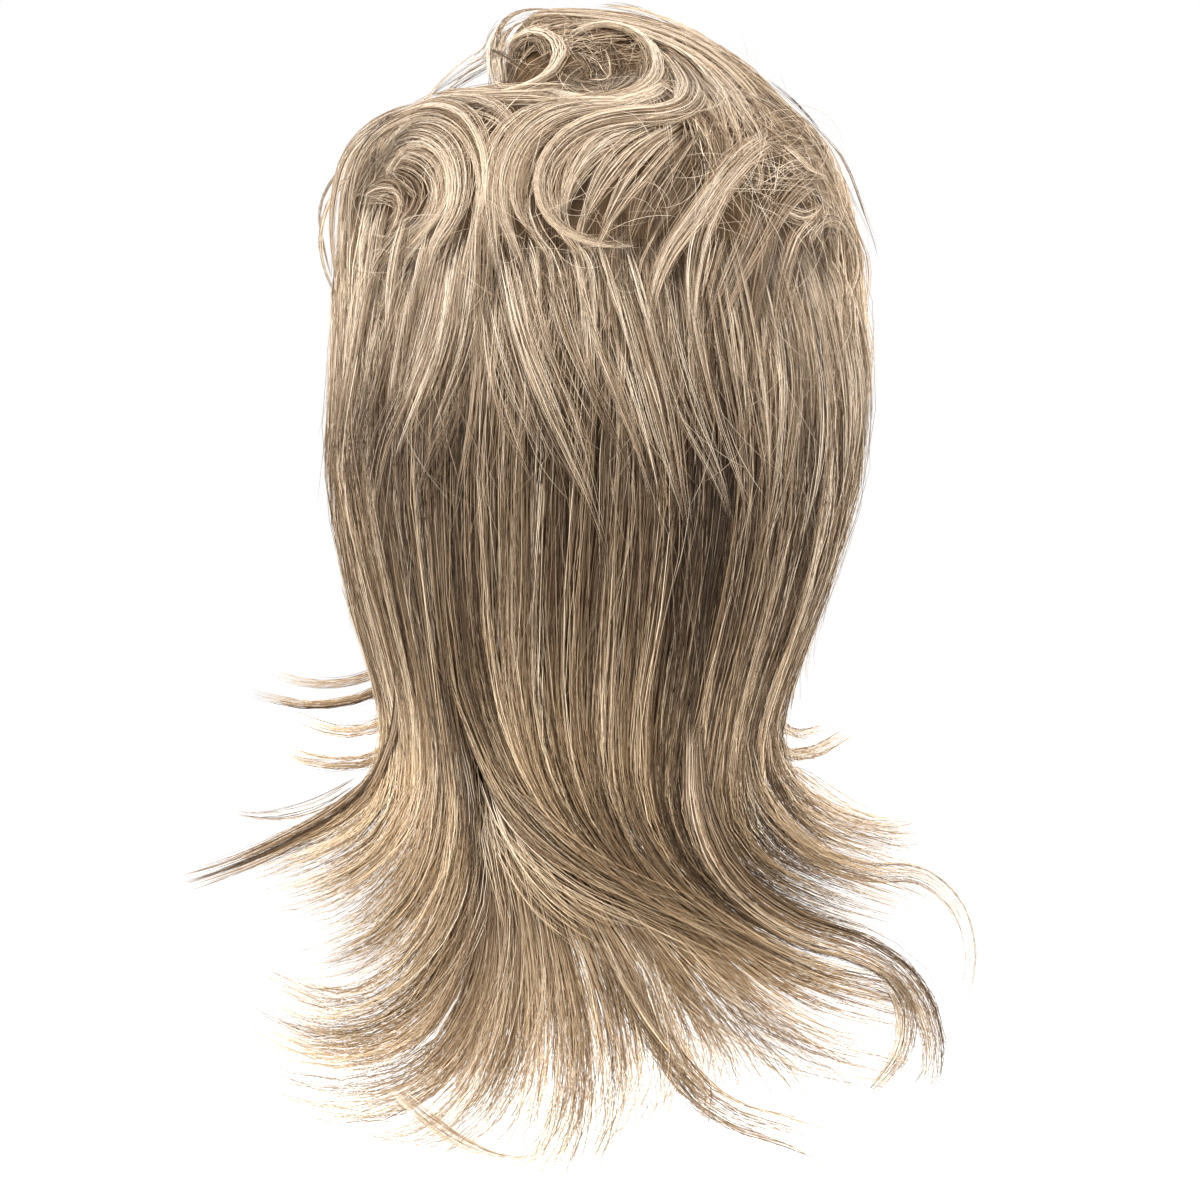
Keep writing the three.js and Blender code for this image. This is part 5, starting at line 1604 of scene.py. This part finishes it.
# Flicked ends of the side hair, in front of the ears
flickForm = {"loose": 0.10, "root": 1.0, "tip": 0.35, "fan": 0.45, "spread": 0.2, "tipTone": 0.1,
             "radius": (0.10, 0.20), "facing": (0, 1, 0)}
flickRows = [
    # as in makeLock
    (2.0, 6, 1, 30, 0.80, [(366, 500, -30), (388, 556, -30), (401, 610, -29), (396, 646, -31),
        (380, 670, -35), (345, 683, -39), (306, 684, -43), (266, 674, -46)]),
    (2.2, 6, 1, 60, 0.66, [(368, 500, -22), (390, 560, -20), (404, 616, -17), (400, 658, -18),
        (384, 686, -20), (350, 701, -22), (302, 705, -25), (246, 693, -28)]),
    (3.0, 6, 1, 44, 0.82, [(372, 510, -16), (394, 576, -13), (409, 634, -10), (406, 680, -9),
        (394, 714, -9), (364, 731, -9), (326, 730, -11), (286, 714, -14)]),
    (3.4, 6, 1, 70, 0.76, [(376, 520, -12), (396, 590, -9), (411, 650, -6), (408, 702, -4),
        (396, 742, -3), (366, 761, -3), (322, 762, -4), (272, 748, -6)]),
    (2.6, 6, 1, 44, 0.80, [(832, 500, -22), (812, 556, -20), (790, 614, -17), (777, 664, -19),
        (774, 706, -22), (786, 731, -25), (812, 734, -28), (846, 716, -30)]),
    (3.0, 6, 1, 56, 0.74, [(828, 520, -14), (806, 580, -11), (786, 634, -8), (772, 690, -7),
        (770, 730, -6), (784, 754, -8), (820, 750, -11), (868, 720, -14)]),
]
frontFlicks = [makeLock(*row, **flickForm) for row in flickRows]
flickNodes = [
    "left_front_flick_top", "left_front_flick_upper", "left_front_flick_lower", "left_front_flick_low",
    "right_front_flick_upper", "right_front_flick_lower",
]
lockPiece("front_flicks", frontFlicks, 61, endFibre, flickNodes)
print("locks ready")

# Combed hair over the top of the crown, and the fringe and side hair in front. Angles are from the middle
# of the back; longer adds length going round from the face, over longerOver degrees.
combedPlay = {
    "points": 9, "clumpSize": 10, "angleSpread": 2.2, "shorter": (0.76, 1.0), "sway": 0.06, "bow": 1.4,
    "longer": 0.0, "longerOver": (14, 50), "radius": (0.11, 0.24), "tipTone": 0.1, "behindPaintedLight": 0.08,
    "clumpSpread": 0.1, "strandSpread": 0.16,
}
sideHair = {
    **combedPlay, "strands": 640, "points": 10, "start": (0.40, 0.7), "length": (1.05, 1.5),
    "longer": 0.55, "longerOver": (58, 96), "lift": (-5, 0.5), "tone": 0.60,
}
combed = {
    "crown_combed": {
        **combedPlay, "strands": 500, "angles": (20, 340), "start": (0.02, 0.42), "length": (0.30, 0.60),
        "lift": (-2.4, 0.6), "lean": 0.25, "tone": 0.52, "seed": 71,
    },
    "fringe_hair": {
        **combedPlay, "strands": 630, "angles": (128, 232), "start": (0.30, 0.6), "length": (0.34, 0.66),
        "longer": 0.35, "lift": (-4.8, -1.2), "lean": 0.18, "tone": 0.58, "seed": 72,
    },
    "side_hair_left": {**sideHair, "angles": (66, 136), "lean": -0.06, "seed": 73},
    "side_hair_right": {**sideHair, "angles": (224, 294), "lean": 0.06, "seed": 74},
}


# Strands dealt out to clumps: how many clumps there are, and what gives each strand the value of its clump
def dealClumps(rng, hair):
    clump = rng.integers(0, hair["strands"] // hair["clumpSize"], hair["strands"])
    return clump.max() + 1, lambda values: values[clump][:, None]


def addCombed(name, material, node):
    hair = combed[name]
    rng = np.random.default_rng(hair["seed"])
    size = (hair["strands"], 1)
    clumps, each = dealClumps(rng, hair)
    angle = each(rng.uniform(*hair["angles"], clumps)) + rng.normal(0, hair["angleSpread"], size)
    angle = np.radians(angle)
    start = rng.uniform(*hair["start"], size)
    length = each(rng.uniform(*hair["length"], clumps)) * rng.uniform(*hair["shorter"], size)
    fromFace = np.abs(180 - np.degrees(angle))
    length = length + hair["longer"] * smoothStep(*hair["longerOver"], fromFace)
    way = np.linspace(0, 1, hair["points"])[None]
    own = each(rng.uniform(0, 2 * math.pi, clumps))
    turned = angle + hair["lean"] * way + hair["sway"] * np.sin(way * 4 + own)
    lift = rng.uniform(*hair["lift"], size) + hair["bow"] * np.sin(way * math.pi)
    points = onForm(turned, start + length * way, lift)
    rowTone = readTable(toneAndShadeByRow, rowAt(points))[0]
    tone = hair["tone"] + hair["tipTone"] * way
    # behind the face the side hair takes the row tone, painted shade included, raised by painted light where
    # it forms the outline
    asDark = rowTone + hair["behindPaintedLight"] - hair["tone"]  # as the long hair beside it
    tone = tone + behindFace(angle) * asDark + each(rng.normal(0, hair["clumpSpread"], clumps))
    tone = tone + rng.normal(0, hair["strandSpread"], size)
    radius = rng.uniform(*hair["radius"], size) * thinTip(way)
    batch = {"points": points, "radius": radius, "tone": clipTone(tone)}
    strandPiece(name, [batch], material, [node], hair["seed"])


# Hair swept over the quiff from its raised end, on the front and the top
quiffSweep = {
    "strands": 700, "points": 9, "clumpSize": 10, "raisedEnd": 40.4, "lowEnd": -58, "fromRaisedEnd": 0.3,
    "length": (35, 80), "turn": (0.04, 0.80), "turnSpread": 0.03, "turnRange": (0.02, 0.95), "lean": 0.12,
    "bow": 0.25, "lift": (-1.6, 1.0), "puff": 0.8, "radius": (0.10, 0.22),
    "tone": 0.62, "clumpSpread": 0.08, "strandSpread": 0.18, "seed": 75,
}


def addQuiffSweep():
    hair = quiffSweep
    rng = np.random.default_rng(hair["seed"])
    size = (hair["strands"], 1)
    way = np.linspace(0, 1, hair["points"])[None]
    clumps, each = dealClumps(rng, hair)
    atEnd = rng.random(size) < hair["fromRaisedEnd"]
    start = np.where(atEnd, hair["raisedEnd"], rng.uniform(hair["lowEnd"], hair["raisedEnd"], size))
    across = start - rng.uniform(*hair["length"], size) * way
    across = np.clip(across, quiffForm[0][0], quiffForm[-1][0])
    turn = each(rng.uniform(*hair["turn"], clumps)) + rng.normal(0, hair["turnSpread"], size)
    bow = each(rng.normal(0, hair["bow"], clumps))
    turn = np.clip(turn + bow * (way - 0.5) ** 2 - hair["lean"] * way, *hair["turnRange"])
    inset = -rng.uniform(*hair["lift"], size) - hair["puff"] * np.sin(way * math.pi)
    points = archAt(across, math.pi * turn, inset)
    tone = hair["tone"] + each(rng.normal(0, hair["clumpSpread"], clumps))
    tone = tone + rng.normal(0, hair["strandSpread"], size) + 0 * way
    radius = rng.uniform(*hair["radius"], size) * thinEnds(way)
    batch = {"points": points, "radius": radius, "tone": clipTone(tone)}
    strandPiece("quiff_sweep_hair", [batch], crownFibre, ["quiff"], hair["seed"])


addQuiffSweep()
addCombed("crown_combed", crownFibre, "crown_hair")
addCombed("fringe_hair", crownFibre, "fringe")
addCombed("side_hair_left", longFibre, "side_left")
addCombed("side_hair_right", longFibre, "side_right")
print("front hair ready")

print("pieces", len(pieceNames), "triangles", triangleTotal[0])
